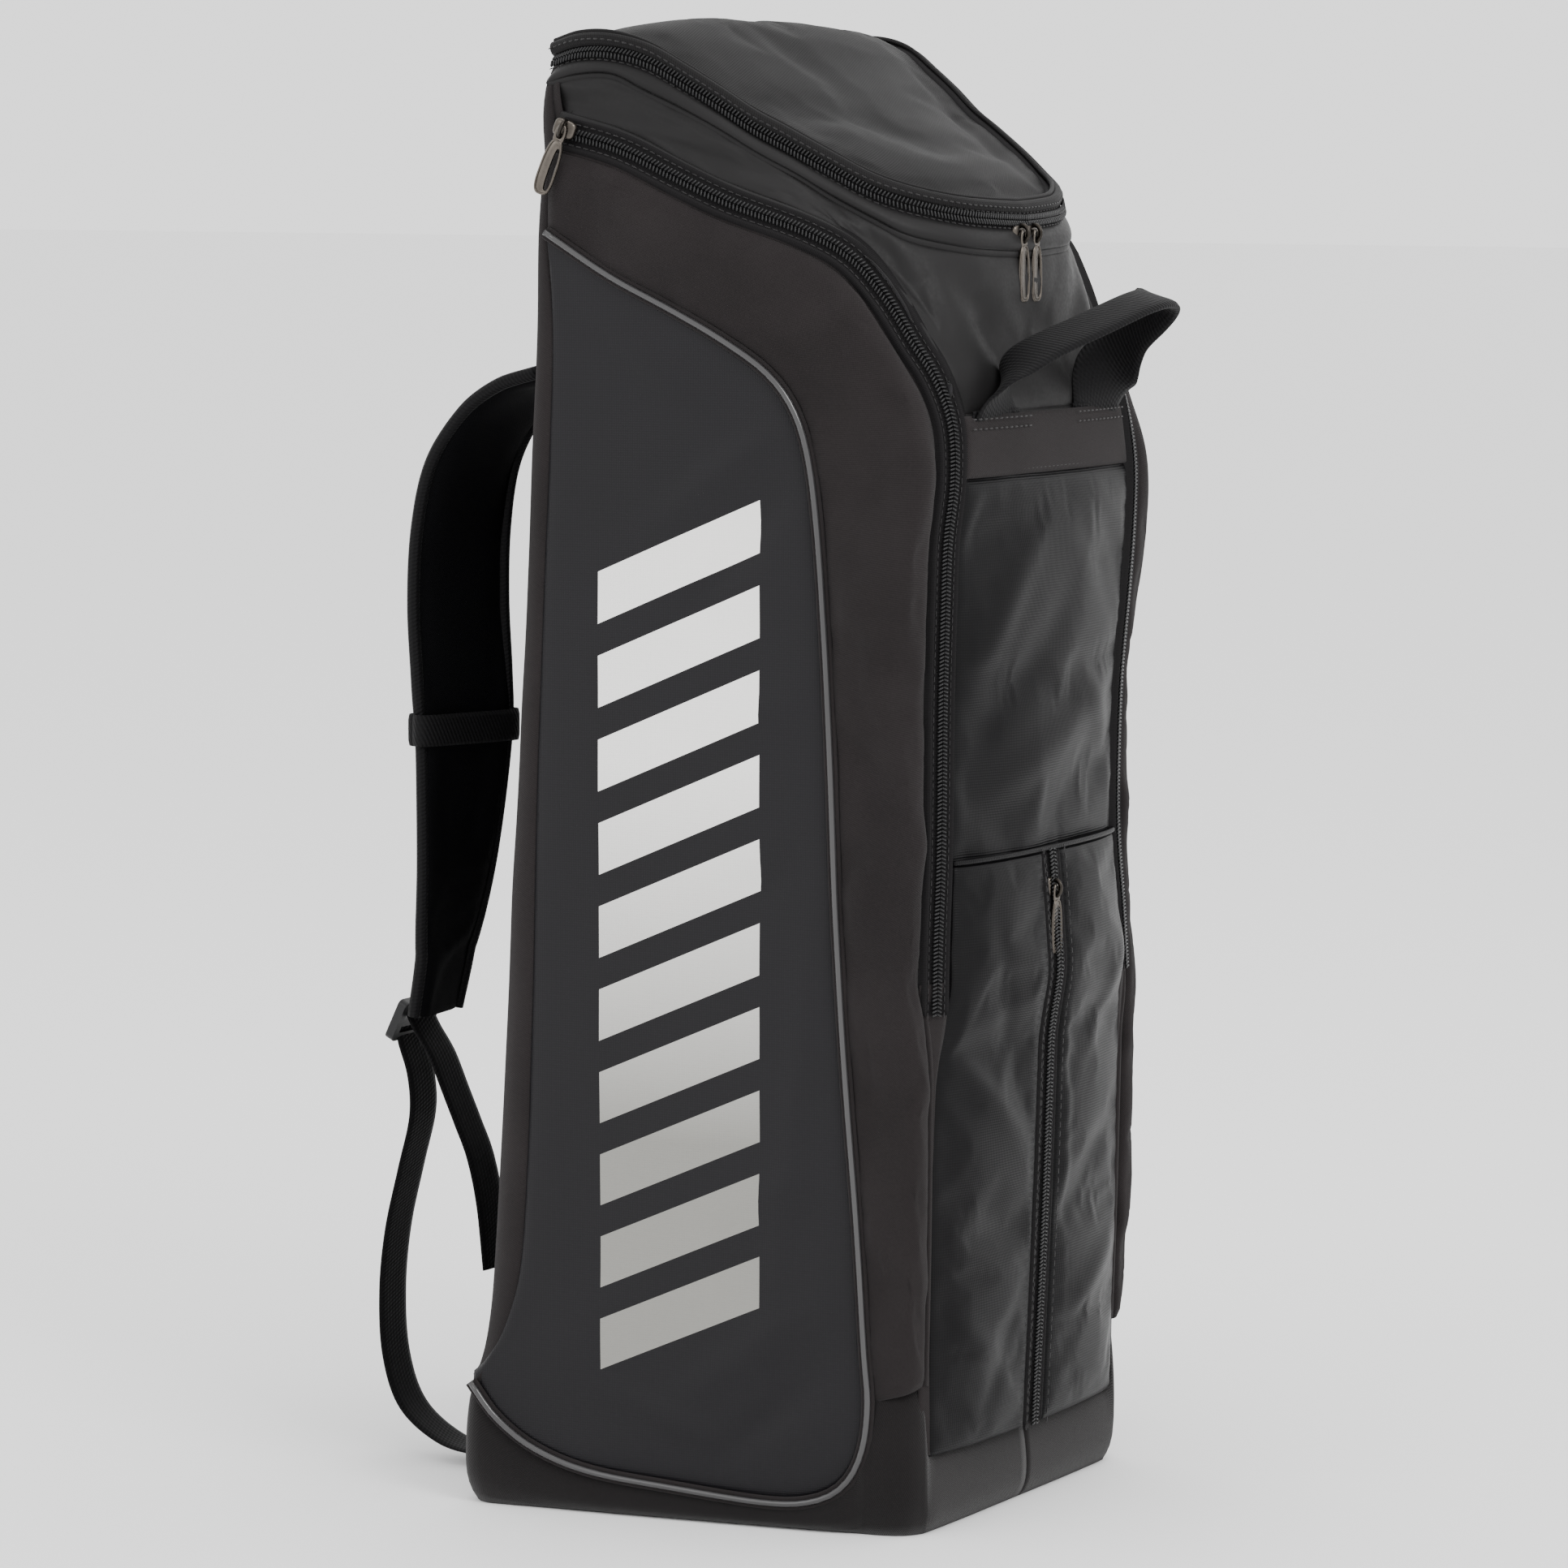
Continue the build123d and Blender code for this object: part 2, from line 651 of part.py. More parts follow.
KEEPER_Z = 402.0
with BuildPart() as left_keeper:
    with BuildSketch(Plane.XY.offset(KEEPER_Z)):
        with Locations((-STRAP_X, 179)):
            RectangleRounded(PAD_WIDTH + 7, PAD_THICK + 9, 3)
            Rectangle(PAD_WIDTH + 2, PAD_THICK + 4, mode=Mode.SUBTRACT)
    extrude(amount=16)
save_pair(left_keeper, "strap_keeper")

LOCK_WIDE = 36.0
LOCK_LONG = 24.0
LOCK_THICK = 5.0
LOCK_BAR = 3.5
lock_plane = Plane(origin=(-STRAP_X, 211, 243), x_dir=(1, 0, 0), z_dir=(0, 1, 0.5))
with BuildPart() as left_ladder_lock:
    with BuildSketch(lock_plane):
        RectangleRounded(LOCK_WIDE, LOCK_LONG, 3)
        with Locations((0, 5.2), (0, -2.6)):
            Rectangle(WEBBING + 1.5, 3.8, mode=Mode.SUBTRACT)
    extrude(amount=LOCK_THICK / 2, both=True)
save_pair(left_ladder_lock, "ladder_lock")
print("left ladder lock top bar:", lock_plane.origin + lock_plane.y_dir * (LOCK_LONG / 2 - LOCK_BAR / 2))

with BuildPart() as strap_yoke:
    with BuildSketch(back_plane(592, GAP)):
        RectangleRounded(250, 54, 10)
    extrude(amount=4)
    with BuildSketch(back_plane(592, GAP)):
        with Locations((-STRAP_X, 0), (STRAP_X, 0)):
            RectangleRounded(44, 12, 3)
    extrude(amount=12)
save(strap_yoke, "strap_yoke")

with BuildPart() as left_strap_anchor:
    with BuildSketch(back_plane(26, GAP)) as anchor_outline:
        with Locations((STRAP_X, 0)):
            Trapezoid(50, 30, 65)
    extrude(amount=3)
save_pair(left_strap_anchor, "strap_anchor")
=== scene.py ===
import json
from math import cos, pi, radians, sin

import bpy
import numpy as np
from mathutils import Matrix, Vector, noise


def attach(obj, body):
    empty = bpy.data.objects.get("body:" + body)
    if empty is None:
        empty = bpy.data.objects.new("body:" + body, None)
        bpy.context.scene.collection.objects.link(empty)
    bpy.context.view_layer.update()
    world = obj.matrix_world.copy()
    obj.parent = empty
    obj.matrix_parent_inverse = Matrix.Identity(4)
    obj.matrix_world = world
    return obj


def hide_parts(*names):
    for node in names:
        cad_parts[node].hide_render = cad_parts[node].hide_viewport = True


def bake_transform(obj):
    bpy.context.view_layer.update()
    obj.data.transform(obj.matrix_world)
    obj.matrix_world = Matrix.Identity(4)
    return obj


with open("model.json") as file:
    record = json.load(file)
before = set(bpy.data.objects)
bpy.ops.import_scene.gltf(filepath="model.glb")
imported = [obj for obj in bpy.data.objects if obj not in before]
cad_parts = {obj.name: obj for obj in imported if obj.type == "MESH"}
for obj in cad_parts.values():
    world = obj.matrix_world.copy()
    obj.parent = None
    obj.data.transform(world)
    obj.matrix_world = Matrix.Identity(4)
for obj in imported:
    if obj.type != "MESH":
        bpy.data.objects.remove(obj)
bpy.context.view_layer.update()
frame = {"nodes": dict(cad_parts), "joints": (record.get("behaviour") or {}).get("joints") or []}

MM = 0.001

# Seam lines of the left half, in millimetres in the row frame. The right half mirrors them.
SIDE_ZIP = [
    (-154, 68, 721), (-149, 35, 712), (-142, 4, 697), (-134, -21, 685), (-122, -58, 671),
    (-113, -80, 658), (-106, -96, 638), (-100, -109, 615), (-95, -119, 597), (-93, -127, 574),
    (-96, -130, 546), (-99, -128, 515), (-98, -126, 480), (-95, -123, 430), (-94, -122, 380),
    (-95, -122, 345), (-99, -123, 309), (-102, -124, 273),
]
# Outward direction of the fabric at the same places.
SIDE_ZIP_OUT = [
    (-9, -2, 3), (-9, -2, 4), (-9, -3, 5), (-9, -4, 5), (-8, -6, 5),
    (-8, -7, 4), (-7, -8, 4), (-6, -9, 3), (-5, -9, 2), (-4, -9, 1),
] + [(-3, -9, 0)] * 8
PIPING = [
    (77, 670), (43, 648), (10, 631), (-17, 616), (-40, 600), (-54, 582), (-62, 558),
    (-67, 520), (-71, 463), (-74, 400), (-77, 322), (-82, 240), (-88, 165), (-92, 100),
    (-94, 70), (-91, 45), (-82, 27), (-66, 17), (-40, 14), (12, 18), (56, 23), (86, 33),
    (107, 48), (121, 66),
]
REAR_SEAM = [
    (77, 670), (75, 620), (77, 560), (80, 500), (83, 430), (85, 380), (87, 300), (89, 240),
    (91, 187), (95, 130), (103, 98), (112, 80), (121, 66),
]
LID_ZIP = [
    (-131, 84, 757), (-135, 66, 761), (-136, 47, 761), (-132, 28, 756), (-126, 11, 746),
    (-120, -6, 735), (-113, -23, 723), (-107, -39, 714), (-98, -61, 701), (-88, -79, 690),
    (-74, -94, 683), (-50, -106, 678), (-25, -111, 676), (0, -113, 675),
]
FACING = [
    (-145, 84, 745), (-143, 66, 749), (-141, 46, 749), (-138, 29, 741), (-133, 10, 732),
    (-127, -10, 721), (-120, -29, 709), (-112, -48, 698), (-104, -64, 687), (-94, -82, 676),
    (-82, -97, 667), (-55, -114, 661), (-28, -119, 659), (0, -121, 658),
]

SPLAY = 0.225  # how fast the side walls spread apart towards the back
TAPE_WIDE = 9.0  # one half of a side zip, from the chain to the seam
POCKET_EDGE = 8.0  # half of the gap between the pocket's two panels
STRAP_X = 88.0  # distance of each shoulder strap from the middle plane
HALF_POINTS = 110  # points on a seam curve that ends on the middle plane
SEAM_POINTS = 150  # points on a seam curve of one side
GUSSET_POINTS = 160
FRONT = (0.0, -1.0, 0.0)


# ---- small mesh helpers ---------------------------------------------------------------
def side_x(y):
    """X of the left side wall's plane at depth y, in millimetres."""
    return -(122 + (y + 70) * SPLAY)


def on_side(points):
    """Side view points, as Y and Z, put on the left side wall."""
    return [(side_x(y), y, z) for y, z in points]


def lengths(path):
    """Distance along a path at each of its points."""
    return np.concatenate([[0], np.cumsum(np.linalg.norm(np.diff(path, axis=0), axis=1))])


def smooth(points, count):
    """Evenly spaced points on a smooth curve through the given ones."""
    p = np.array(points, float)
    p = np.vstack([2 * p[0] - p[1], p, 2 * p[-1] - p[-2]])
    fine = []
    for i in range(1, len(p) - 2):
        for t in np.linspace(0, 1, 24, endpoint=False):
            a, b, c, d = p[i - 1], p[i], p[i + 1], p[i + 2]
            fine.append(0.5 * (2 * b + (c - a) * t + (2 * a - 5 * b + 4 * c - d) * t**2
                               + (3 * b - a - 3 * c + d) * t**3))
    fine.append(p[-2])
    fine = np.array(fine)
    length = lengths(fine[:, :3])
    at = np.linspace(0, length[-1], count)
    return np.stack([np.interp(at, length, fine[:, k]) for k in range(fine.shape[1])], 1)


def ease(t):
    """Zero to one with a soft start and end."""
    return t * t * (3 - 2 * t)


def unit(v):
    """Vectors scaled to length one along the last axis."""
    return v / np.maximum(np.linalg.norm(v, axis=-1, keepdims=True), 1e-9)


def grid_normals(g):
    """Normals of a grid of points."""
    du = np.gradient(g, axis=0)
    dv = np.gradient(g, axis=1)
    return unit(np.cross(du, dv))


def read_at(line, ts):
    """A line of points read again, smoothly, at fractions ts of its length."""
    n = len(line) - 1
    x = np.clip(np.asarray(ts) * n, 0, n - 1e-6)
    i = np.floor(x).astype(int)
    t = (x - i)[:, None]
    ext = np.concatenate([2 * line[:1] - line[1:2], line, 2 * line[-1:] - line[-2:-1]])
    p0, p1, p2, p3 = ext[i], ext[i + 1], ext[i + 2], ext[i + 3]
    return 0.5 * (2 * p1 + (p2 - p0) * t + (2 * p0 - 5 * p1 + 4 * p2 - p3) * t**2
                  + (3 * p1 - p0 - 3 * p2 + p3) * t**3)


def wrinkle(g, scale, seed):
    """Soft noise between -1 and 1 at each point of a grid, repeatable."""
    out = [noise.noise(Vector((x + seed, y, z))) for x, y, z in g.reshape(-1, 3) / scale]
    return np.array(out).reshape(g.shape[:-1])


def new_mesh(name, verts, faces, uvs=None, material=None):
    """A mesh object from points in millimetres."""
    mesh = bpy.data.meshes.new(name)
    mesh.from_pydata([tuple(v) for v in np.asarray(verts) * MM], [], faces)
    if uvs is not None:
        layer = mesh.uv_layers.new(name="UVMap")
        loops = np.empty(len(mesh.loops), int)
        mesh.loops.foreach_get("vertex_index", loops)
        layer.data.foreach_set("uv", (np.asarray(uvs) * MM)[loops].astype(np.float32).ravel())
    mesh.polygons.foreach_set("use_smooth", [True] * len(mesh.polygons))
    mesh.update()
    piece = bpy.data.objects.new(name, mesh)
    bpy.context.scene.collection.objects.link(piece)
    if material:
        mesh.materials.append(material)
    return piece


def grid_uv(g):
    """UV in millimetres along the two sides of a grid."""
    rows, cols = g.shape[:2]
    u = np.concatenate([[0], np.cumsum(np.linalg.norm(np.diff(g, axis=0), axis=2).mean(1))])
    v = np.concatenate([[0], np.cumsum(np.linalg.norm(np.diff(g, axis=1), axis=2).mean(0))])
    return np.stack(np.broadcast_arrays(v[None, :], u[:, None]), -1).reshape(rows, cols, 2)


def fabric(name, g, material, thick=1.6, seam=1.6, seam_reach=3.0, uv=None, lining=None,
           seams=("first", "last", "left", "right")):
    """A closed fabric panel from a grid of points: its edges dip into the seams."""
    n = grid_normals(g)
    rows, cols = g.shape[:2]
    own = grid_uv(g)
    along, down = own[..., 0], own[..., 1]
    from_edge = {"first": down, "last": down[-1, 0] - down, "left": along, "right": along[0, -1] - along}
    to_edge = np.min([from_edge[edge] for edge in seams], axis=0)
    flat_uv = own if uv is None else uv
    outer = g - n * (seam * np.exp(-np.maximum(to_edge, 0) / seam_reach))[..., None]
    inner = outer - n * thick
    verts = np.concatenate([outer.reshape(-1, 3), inner.reshape(-1, 3)])
    uvs = np.concatenate([flat_uv.reshape(-1, 2)] * 2)
    index = np.arange(rows * cols).reshape(rows, cols)
    a, b = index[:-1, :-1].ravel(), index[1:, :-1].ravel()
    c, d = index[1:, 1:].ravel(), index[:-1, 1:].ravel()
    front = np.stack([a, b, c, d], 1)
    back = np.stack([d, c, b, a], 1) + rows * cols
    ring = np.concatenate([index[0, :-1], index[:-1, -1], index[-1, :0:-1], index[:0:-1, 0]])
    after = np.roll(ring, -1)
    rim = np.stack([ring, after, after + rows * cols, ring + rows * cols], 1)
    faces = np.concatenate([front, back, rim])
    piece = new_mesh(name, verts, faces.tolist(), uvs, material)
    if lining:
        piece.data.materials.append(lining)
        slots = np.zeros(len(faces), int)
        slots[len(front):len(front) + len(back)] = 1
        piece.data.polygons.foreach_set("material_index", slots)
    return piece


def ruled(a, b, rows, bulge=0.0):
    """A grid between two curves, swollen outwards between them."""
    t = np.linspace(0, 1, rows)
    g = a[None] * (1 - t)[:, None, None] + b[None] * t[:, None, None]
    n = grid_normals(g)
    return g + n * (bulge * np.sin(pi * t))[:, None, None]


def swept(name, rings, uvs, material, closed_ends=True):
    """The skin over rings of points."""
    count, sides = rings.shape[:2]
    index = np.arange(count * sides).reshape(count, sides)
    after = np.roll(index, -1, axis=1)
    faces = np.stack([index[:-1], after[:-1], after[1:], index[1:]], -1).reshape(-1, 4).tolist()
    if closed_ends:
        faces += [index[0][::-1].tolist(), index[-1].tolist()]
    return new_mesh(name, rings.reshape(-1, 3), faces, uvs.reshape(-1, 2), material)


def tube(name, path, radius, material, sides=10, flat=1.0, normal=None, closed_ends=True):
    """A tube along points; with a normal, its section is radius wide and radius*flat high."""
    path = np.asarray(path, float)
    tangent = unit(np.gradient(path, axis=0))
    if normal is None:
        start = (0.0, 0.0, 1.0) if abs(tangent[0][2]) < 0.9 else (1, 0, 0)
        last = unit(np.cross(tangent[0], start))
        axes = []
        for direction in tangent:
            last = unit(last - direction * np.dot(last, direction))
            axes.append(last)
        across = np.array(axes)
        up = np.cross(tangent, across)
    else:
        normal = np.broadcast_to(np.asarray(normal, float), path.shape)
        up = unit(normal - tangent * (normal * tangent).sum(1, keepdims=True))
        across = np.cross(tangent, up)
    angle = np.linspace(0, 2 * pi, sides, endpoint=False)[None, :, None]
    ring = np.cos(angle) * across[:, None] + np.sin(angle) * up[:, None] * flat
    round_it = np.arange(sides)[None] * 2 * pi * radius / sides
    uvs = np.stack(np.broadcast_arrays(round_it, lengths(path)[:, None]), -1)
    return swept(name, path[:, None] + ring * radius, uvs, material, closed_ends)


def ribbon(name, path, across, width, thick, material, rows=7, edge=1.0):
    """Flat webbing: a rounded strip along points, across its width direction."""
    path = np.asarray(path, float)
    tangent = unit(np.gradient(path, axis=0))
    across = np.broadcast_to(np.asarray(across, float), path.shape)
    across = unit(across - tangent * (across * tangent).sum(1, keepdims=True))
    up = np.cross(tangent, across)
    width = np.broadcast_to(np.asarray(width, float), (len(path),))[:, None]
    thick = np.broadcast_to(np.asarray(thick, float), (len(path),))[:, None]
    s = np.linspace(-1, 1, rows)
    half = 0.5 * (1 - np.abs(s) ** (6 / edge)) ** 0.5
    half[[0, -1]] = 0.12
    x, high = np.concatenate([s, s[::-1]]), np.concatenate([half, -half[::-1]])
    sideways, upwards = x * width / 2, high * thick
    rings = path[:, None] + across[:, None] * sideways[..., None] + up[:, None] * upwards[..., None]
    uvs = np.stack(np.broadcast_arrays(sideways, lengths(path)[:, None]), -1)
    return swept(name, rings, uvs, material)


def beads(name, centres, along, up, size, material):
    """Many small rounded bars in one piece: zip teeth or stitches."""
    centres, along, up = (np.asarray(x, float) for x in (centres, along, up))
    along = unit(along)
    up = unit(up - along * (up * along).sum(1, keepdims=True))
    side = np.cross(along, up)
    shape = np.array([(x, 0.5 * r * cos(k * pi / 3), 0.5 * r * sin(k * pi / 3))
                      for x, r in ((-0.5, 0.35), (-0.34, 0.9), (0.34, 0.9), (0.5, 0.35)) for k in range(6)])
    bars = shape[None] * size
    verts = (centres[:, None] + along[:, None] * bars[..., :1] + side[:, None] * bars[..., 1:2]
             + up[:, None] * bars[..., 2:])
    walls = [(j * 6 + k, j * 6 + (k + 1) % 6, (j + 1) * 6 + (k + 1) % 6, (j + 1) * 6 + k)
             for j in range(3) for k in range(6)]
    caps = [(5, 4, 3, 2), (5, 2, 1, 0), (18, 19, 20, 21), (18, 21, 22, 23)]
    first = np.arange(len(centres))[:, None, None] * len(shape)
    faces = (np.array(walls + caps)[None] + first).reshape(-1, 4).tolist()
    uvs = np.repeat(np.stack([np.arange(len(centres)), np.zeros(len(centres))], 1), len(shape), axis=0)
    return new_mesh(name, verts.reshape(-1, 3), faces, uvs, material)


def simulate(piece, frames, pressure, **values):
    """Where cloth simulation under pressure, without gravity, leaves a mesh's points, in metres."""
    cloth = piece.modifiers.new("cloth", "CLOTH")
    settings = cloth.settings
    for key, value in values.items():
        setattr(settings, key, value)
    settings.use_pressure = True
    settings.uniform_pressure_force = pressure
    settings.effector_weights.gravity = 0
    cloth.point_cache.frame_start = 1
    cloth.point_cache.frame_end = frames
    scene = bpy.context.scene
    for frame_number in range(1, frames + 1):
        scene.frame_set(frame_number)
    done = piece.evaluated_get(bpy.context.evaluated_depsgraph_get())
    points = np.empty(len(piece.data.vertices) * 3)
    done.data.vertices.foreach_get("co", points)
    scene.frame_set(1)
    return points.reshape(-1, 3)


def settle(g, pressure, grow, cap, seed):
    """One panel held at its seams: it swells and puckers like sewn fabric, by up to cap millimetres."""
    n = grid_normals(g)
    rows, cols = g.shape[:2]
    edge = np.ones((rows, cols), bool)
    edge[1:-1, 1:-1] = False
    push = wrinkle(g, 45.0, seed) * 1.2
    push[edge] = 0
    index = np.arange(rows * cols).reshape(rows, cols)
    faces = np.stack([index[:-1, :-1], index[1:, :-1], index[1:, 1:], index[:-1, 1:]], -1)
    guess = (g + n * push[..., None]).reshape(-1, 3)
    piece = new_mesh("settling", guess, faces.reshape(-1, 4).tolist())
    piece.vertex_groups.new(name="pins").add(index[edge].tolist(), 1.0, "REPLACE")
    done = simulate(piece, 22, pressure, quality=6, mass=0.25, air_damping=3, tension_stiffness=25,
                    compression_stiffness=12, shear_stiffness=8, bending_stiffness=0.35,
                    vertex_group_mass="pins", pin_stiffness=1, shrink_min=-grow, shrink_max=-grow)
    bpy.data.objects.remove(piece, do_unlink=True)
    moved = done.reshape(rows, cols, 3) / MM - g
    size = np.linalg.norm(moved, axis=2, keepdims=True)
    from_row = np.minimum(np.arange(rows), np.arange(rows)[::-1])
    from_col = np.minimum(np.arange(cols), np.arange(cols)[::-1])
    calm = np.clip(np.minimum.outer(from_row, from_col) / 6, 0, 1) ** 0.8
    return g + moved * np.minimum(1, cap / np.maximum(size, 1e-6)) * calm[..., None]


def folds(g, creases):
    """Soft creases: each is a line from a to b in space, with its width and height."""
    n = grid_normals(g)
    rise = np.zeros(g.shape[:2])
    for a, b, width, height in creases:
        a, b = np.array(a, float), np.array(b, float)
        run = b - a
        t = np.clip(((g - a) @ run) / (run @ run), -0.15, 1.15)
        away = np.linalg.norm(g - a - run * t[..., None], axis=2)
        ends = np.clip(np.sin(pi * np.clip((t + 0.15) / 1.3, 0, 1)), 0, 1)
        rise += height * np.exp(-(away / width) ** 2) * ends
    edge = np.ones(g.shape[:2])
    edge[[0, -1]] = 0
    edge[:, [0, -1]] = 0
    return g + n * (rise * edge)[..., None]


def coons(left, right, first, last):
    """A grid that fills four curves: left and right run from first to last."""
    rows, cols = len(left), len(first)
    u = np.linspace(0, 1, rows)[:, None, None]
    v = np.linspace(0, 1, cols)[None, :, None]
    across = left[:, None] * (1 - v) + right[:, None] * v
    down = first[None] * (1 - u) + last[None] * u
    corner = (first[0] * (1 - u) * (1 - v) + first[-1] * (1 - u) * v
              + last[0] * u * (1 - v) + last[-1] * u * v)
    return across + down - corner


def towards(g, direction):
    """The grid turned over, if need be, so that its normals face a direction."""
    if (grid_normals(g).mean((0, 1)) @ np.array(direction)) < 0:
        return g[:, ::-1]
    return g


def mirror_x(points):
    """Points on the other side of the bag."""
    return np.asarray(points) * np.array([-1, 1, 1])


# ---- materials ------------------------------------------------------------------------
def new_material(name):
    """An empty node material with its Principled shader."""
    material = bpy.data.materials.new(name)
    material.use_nodes = True
    tree = material.node_tree
    return material, tree, tree.nodes["Principled BSDF"]


def math_node(tree, operation, a, b=None):
    """A Math node; each input is a socket or a number."""
    node = tree.nodes.new("ShaderNodeMath")
    node.operation = operation
    for socket, value in zip(node.inputs, (a, b)):
        if value is None:
            continue
        if isinstance(value, (int, float)):
            socket.default_value = value
        else:
            tree.links.new(value, socket)
    return node.outputs[0]


def times(tree, a, b):
    """Product of two sockets or numbers."""
    return math_node(tree, "MULTIPLY", a, b)


def plus(tree, a, b):
    """Sum of two sockets or numbers."""
    return math_node(tree, "ADD", a, b)


def ramp_node(tree, factor, low, high, dark, light):
    """A socket that goes from one value to another as the factor goes from low to high."""
    node = tree.nodes.new("ShaderNodeMapRange")
    tree.links.new(factor, node.inputs["Value"])
    for key, value in (("From Min", low), ("From Max", high), ("To Min", dark), ("To Max", light)):
        node.inputs[key].default_value = value
    return node.outputs[0]


def mix_colour(tree, factor, a, b):
    """A colour mixed between two colours or sockets."""
    node = tree.nodes.new("ShaderNodeMix")
    node.data_type = "RGBA"
    if isinstance(factor, (int, float)):
        node.inputs["Factor"].default_value = factor
    else:
        tree.links.new(factor, node.inputs["Factor"])
    for key, value in (("A", a), ("B", b)):
        socket = [i for i in node.inputs if i.name == key and i.type == "RGBA"][0]
        if isinstance(value, tuple):
            socket.default_value = (*value, 1)
        else:
            tree.links.new(value, socket)
    return [o for o in node.outputs if o.type == "RGBA"][0]


def noise_node(tree, scale, detail=3.0, rough=0.55):
    """Noise in object space."""
    where = tree.nodes.new("ShaderNodeTexCoord")
    node = tree.nodes.new("ShaderNodeTexNoise")
    node.inputs["Scale"].default_value = scale
    node.inputs["Detail"].default_value = detail
    node.inputs["Roughness"].default_value = rough
    tree.links.new(where.outputs["Object"], node.inputs["Vector"])
    return node.outputs["Fac"]


def uv_axes(tree):
    """The two UV sockets, which run in metres over the cloth."""
    uv = tree.nodes.new("ShaderNodeUVMap")
    uv.uv_map = "UVMap"
    split = tree.nodes.new("ShaderNodeSeparateXYZ")
    tree.links.new(uv.outputs[0], split.inputs[0])
    return split.outputs[0], split.outputs[1]


def wave(tree, along, pitch, sharp=1.0):
    """Ridges across an axis, from 0 to 1, one for each pitch in metres."""
    ridge = math_node(tree, "SINE", times(tree, along, 2 * pi / pitch))
    up = math_node(tree, "MULTIPLY_ADD", ridge, 0.5)
    up.node.inputs[2].default_value = 0.5
    return math_node(tree, "POWER", up, sharp) if sharp != 1 else up


def weave(tree, pattern, pitch):
    """Height of a woven surface from its UVs."""
    u, v = uv_axes(tree)
    if pattern == "grid":
        return times(tree, wave(tree, u, pitch), wave(tree, v, pitch))
    if pattern == "rib":
        return plus(tree, wave(tree, v, pitch, 0.7), times(tree, wave(tree, u, pitch * 0.75), 0.35))
    if pattern == "twill":
        slope = plus(tree, times(tree, u, 0.45), v)
        return plus(tree, wave(tree, slope, pitch), times(tree, wave(tree, u, pitch * 1.2), 0.5))
    over = math_node(tree, "SUBTRACT", wave(tree, u, pitch), wave(tree, v, pitch))
    return math_node(tree, "ABSOLUTE", over)


def bump(tree, shader, height, strength, distance):
    """Bump on the shader from a height socket."""
    node = tree.nodes.new("ShaderNodeBump")
    node.inputs["Strength"].default_value = strength
    node.inputs["Distance"].default_value = distance
    tree.links.new(height, node.inputs["Height"])
    tree.links.new(node.outputs[0], shader.inputs["Normal"])


def shaded(tree, shader, colour, shade):
    """Base colour from a colour or socket, made lighter and darker by a shade socket."""
    scaled = tree.nodes.new("ShaderNodeVectorMath")
    scaled.operation = "SCALE"
    if isinstance(colour, tuple):
        scaled.inputs[0].default_value = colour
    else:
        tree.links.new(colour, scaled.inputs[0])
    tree.links.new(shade, scaled.inputs["Scale"])
    tree.links.new(scaled.outputs[0], shader.inputs["Base Color"])


def cloth(name, colour, pattern, pitch, rough, strength=0.5, sheen=0.15, vary=0.18, specular=0.4):
    """Woven fabric: thread relief, uneven dye, painted shade in the weave's hollows and a painted highlight
    on its crowns.
    """
    material, tree, shader = new_material(name)
    height = weave(tree, pattern, pitch)
    patchy = noise_node(tree, 14, 4)
    fibre = noise_node(tree, 900, 2)
    mixed = plus(tree, times(tree, patchy, 0.7), times(tree, fibre, 0.3))
    # Painted shade in the weave's hollows and a painted highlight on its crowns, mixed by thread height.
    painted_shade_hollow = tuple(c * 0.712 for c in colour)
    crown = tuple(c * 1.192 for c in colour)
    shade = ramp_node(tree, mixed, 0.3, 0.7, 1 - vary, 1 + vary)
    shaded(tree, shader, mix_colour(tree, height, painted_shade_hollow, crown), shade)
    roughness = ramp_node(tree, patchy, 0.3, 0.7, rough - 0.05, rough + 0.05)
    tree.links.new(roughness, shader.inputs["Roughness"])
    bump(tree, shader, plus(tree, height, times(tree, fibre, 0.35)), strength, 0.00025)
    shader.inputs["Sheen Weight"].default_value = sheen
    shader.inputs["Sheen Roughness"].default_value = 0.5
    shader.inputs["Specular IOR Level"].default_value = specular
    return material


def smooth_coat(name, colour, rough, grain_scale, strength, specular=0.5):
    """Coated fabric, plastic or rubber: fine grain and faint marks."""
    material, tree, shader = new_material(name)
    grain = noise_node(tree, grain_scale, 3)
    shaded(tree, shader, colour, ramp_node(tree, noise_node(tree, 11, 4), 0.3, 0.7, 0.88, 1.12))
    roughness = ramp_node(tree, grain, 0.3, 0.7, rough - 0.06, rough + 0.06)
    tree.links.new(roughness, shader.inputs["Roughness"])
    bump(tree, shader, grain, strength, 0.0003)
    shader.inputs["Specular IOR Level"].default_value = specular
    return material


def gunmetal(name):
    """Antique plated zinc: dark in the hollows, rubbed bright on the crowns."""
    material, tree, shader = new_material(name)
    marks = noise_node(tree, 420, 5, 0.65)
    shaped = tree.nodes.new("ShaderNodeNewGeometry")
    worn = ramp_node(tree, shaped.outputs["Pointiness"], 0.47, 0.56, 0.0, 1.0)
    amount = plus(tree, times(tree, worn, 0.6), times(tree, marks, 0.4))
    plating = mix_colour(tree, amount, (0.014, 0.0125, 0.011), (0.13, 0.115, 0.10))
    tree.links.new(plating, shader.inputs["Base Color"])
    tree.links.new(ramp_node(tree, marks, 0.3, 0.7, 0.22, 0.42), shader.inputs["Roughness"])
    shader.inputs["Metallic"].default_value = 1.0
    bump(tree, shader, marks, 0.12, 0.0002)
    return material


# The printed column, in metres on the side wall, and its slanted bars.
PRINT_LOW, PRINT_HIGH = 0.100, 0.535
PRINT_REAR, PRINT_FRONT = 0.050, -0.036
BAR_PITCH, BAR_SHARE, BAR_SLANT = 0.0435, 0.62, 0.45
SILVER, WHITE = (0.235, 0.232, 0.215), (0.86, 0.85, 0.83)


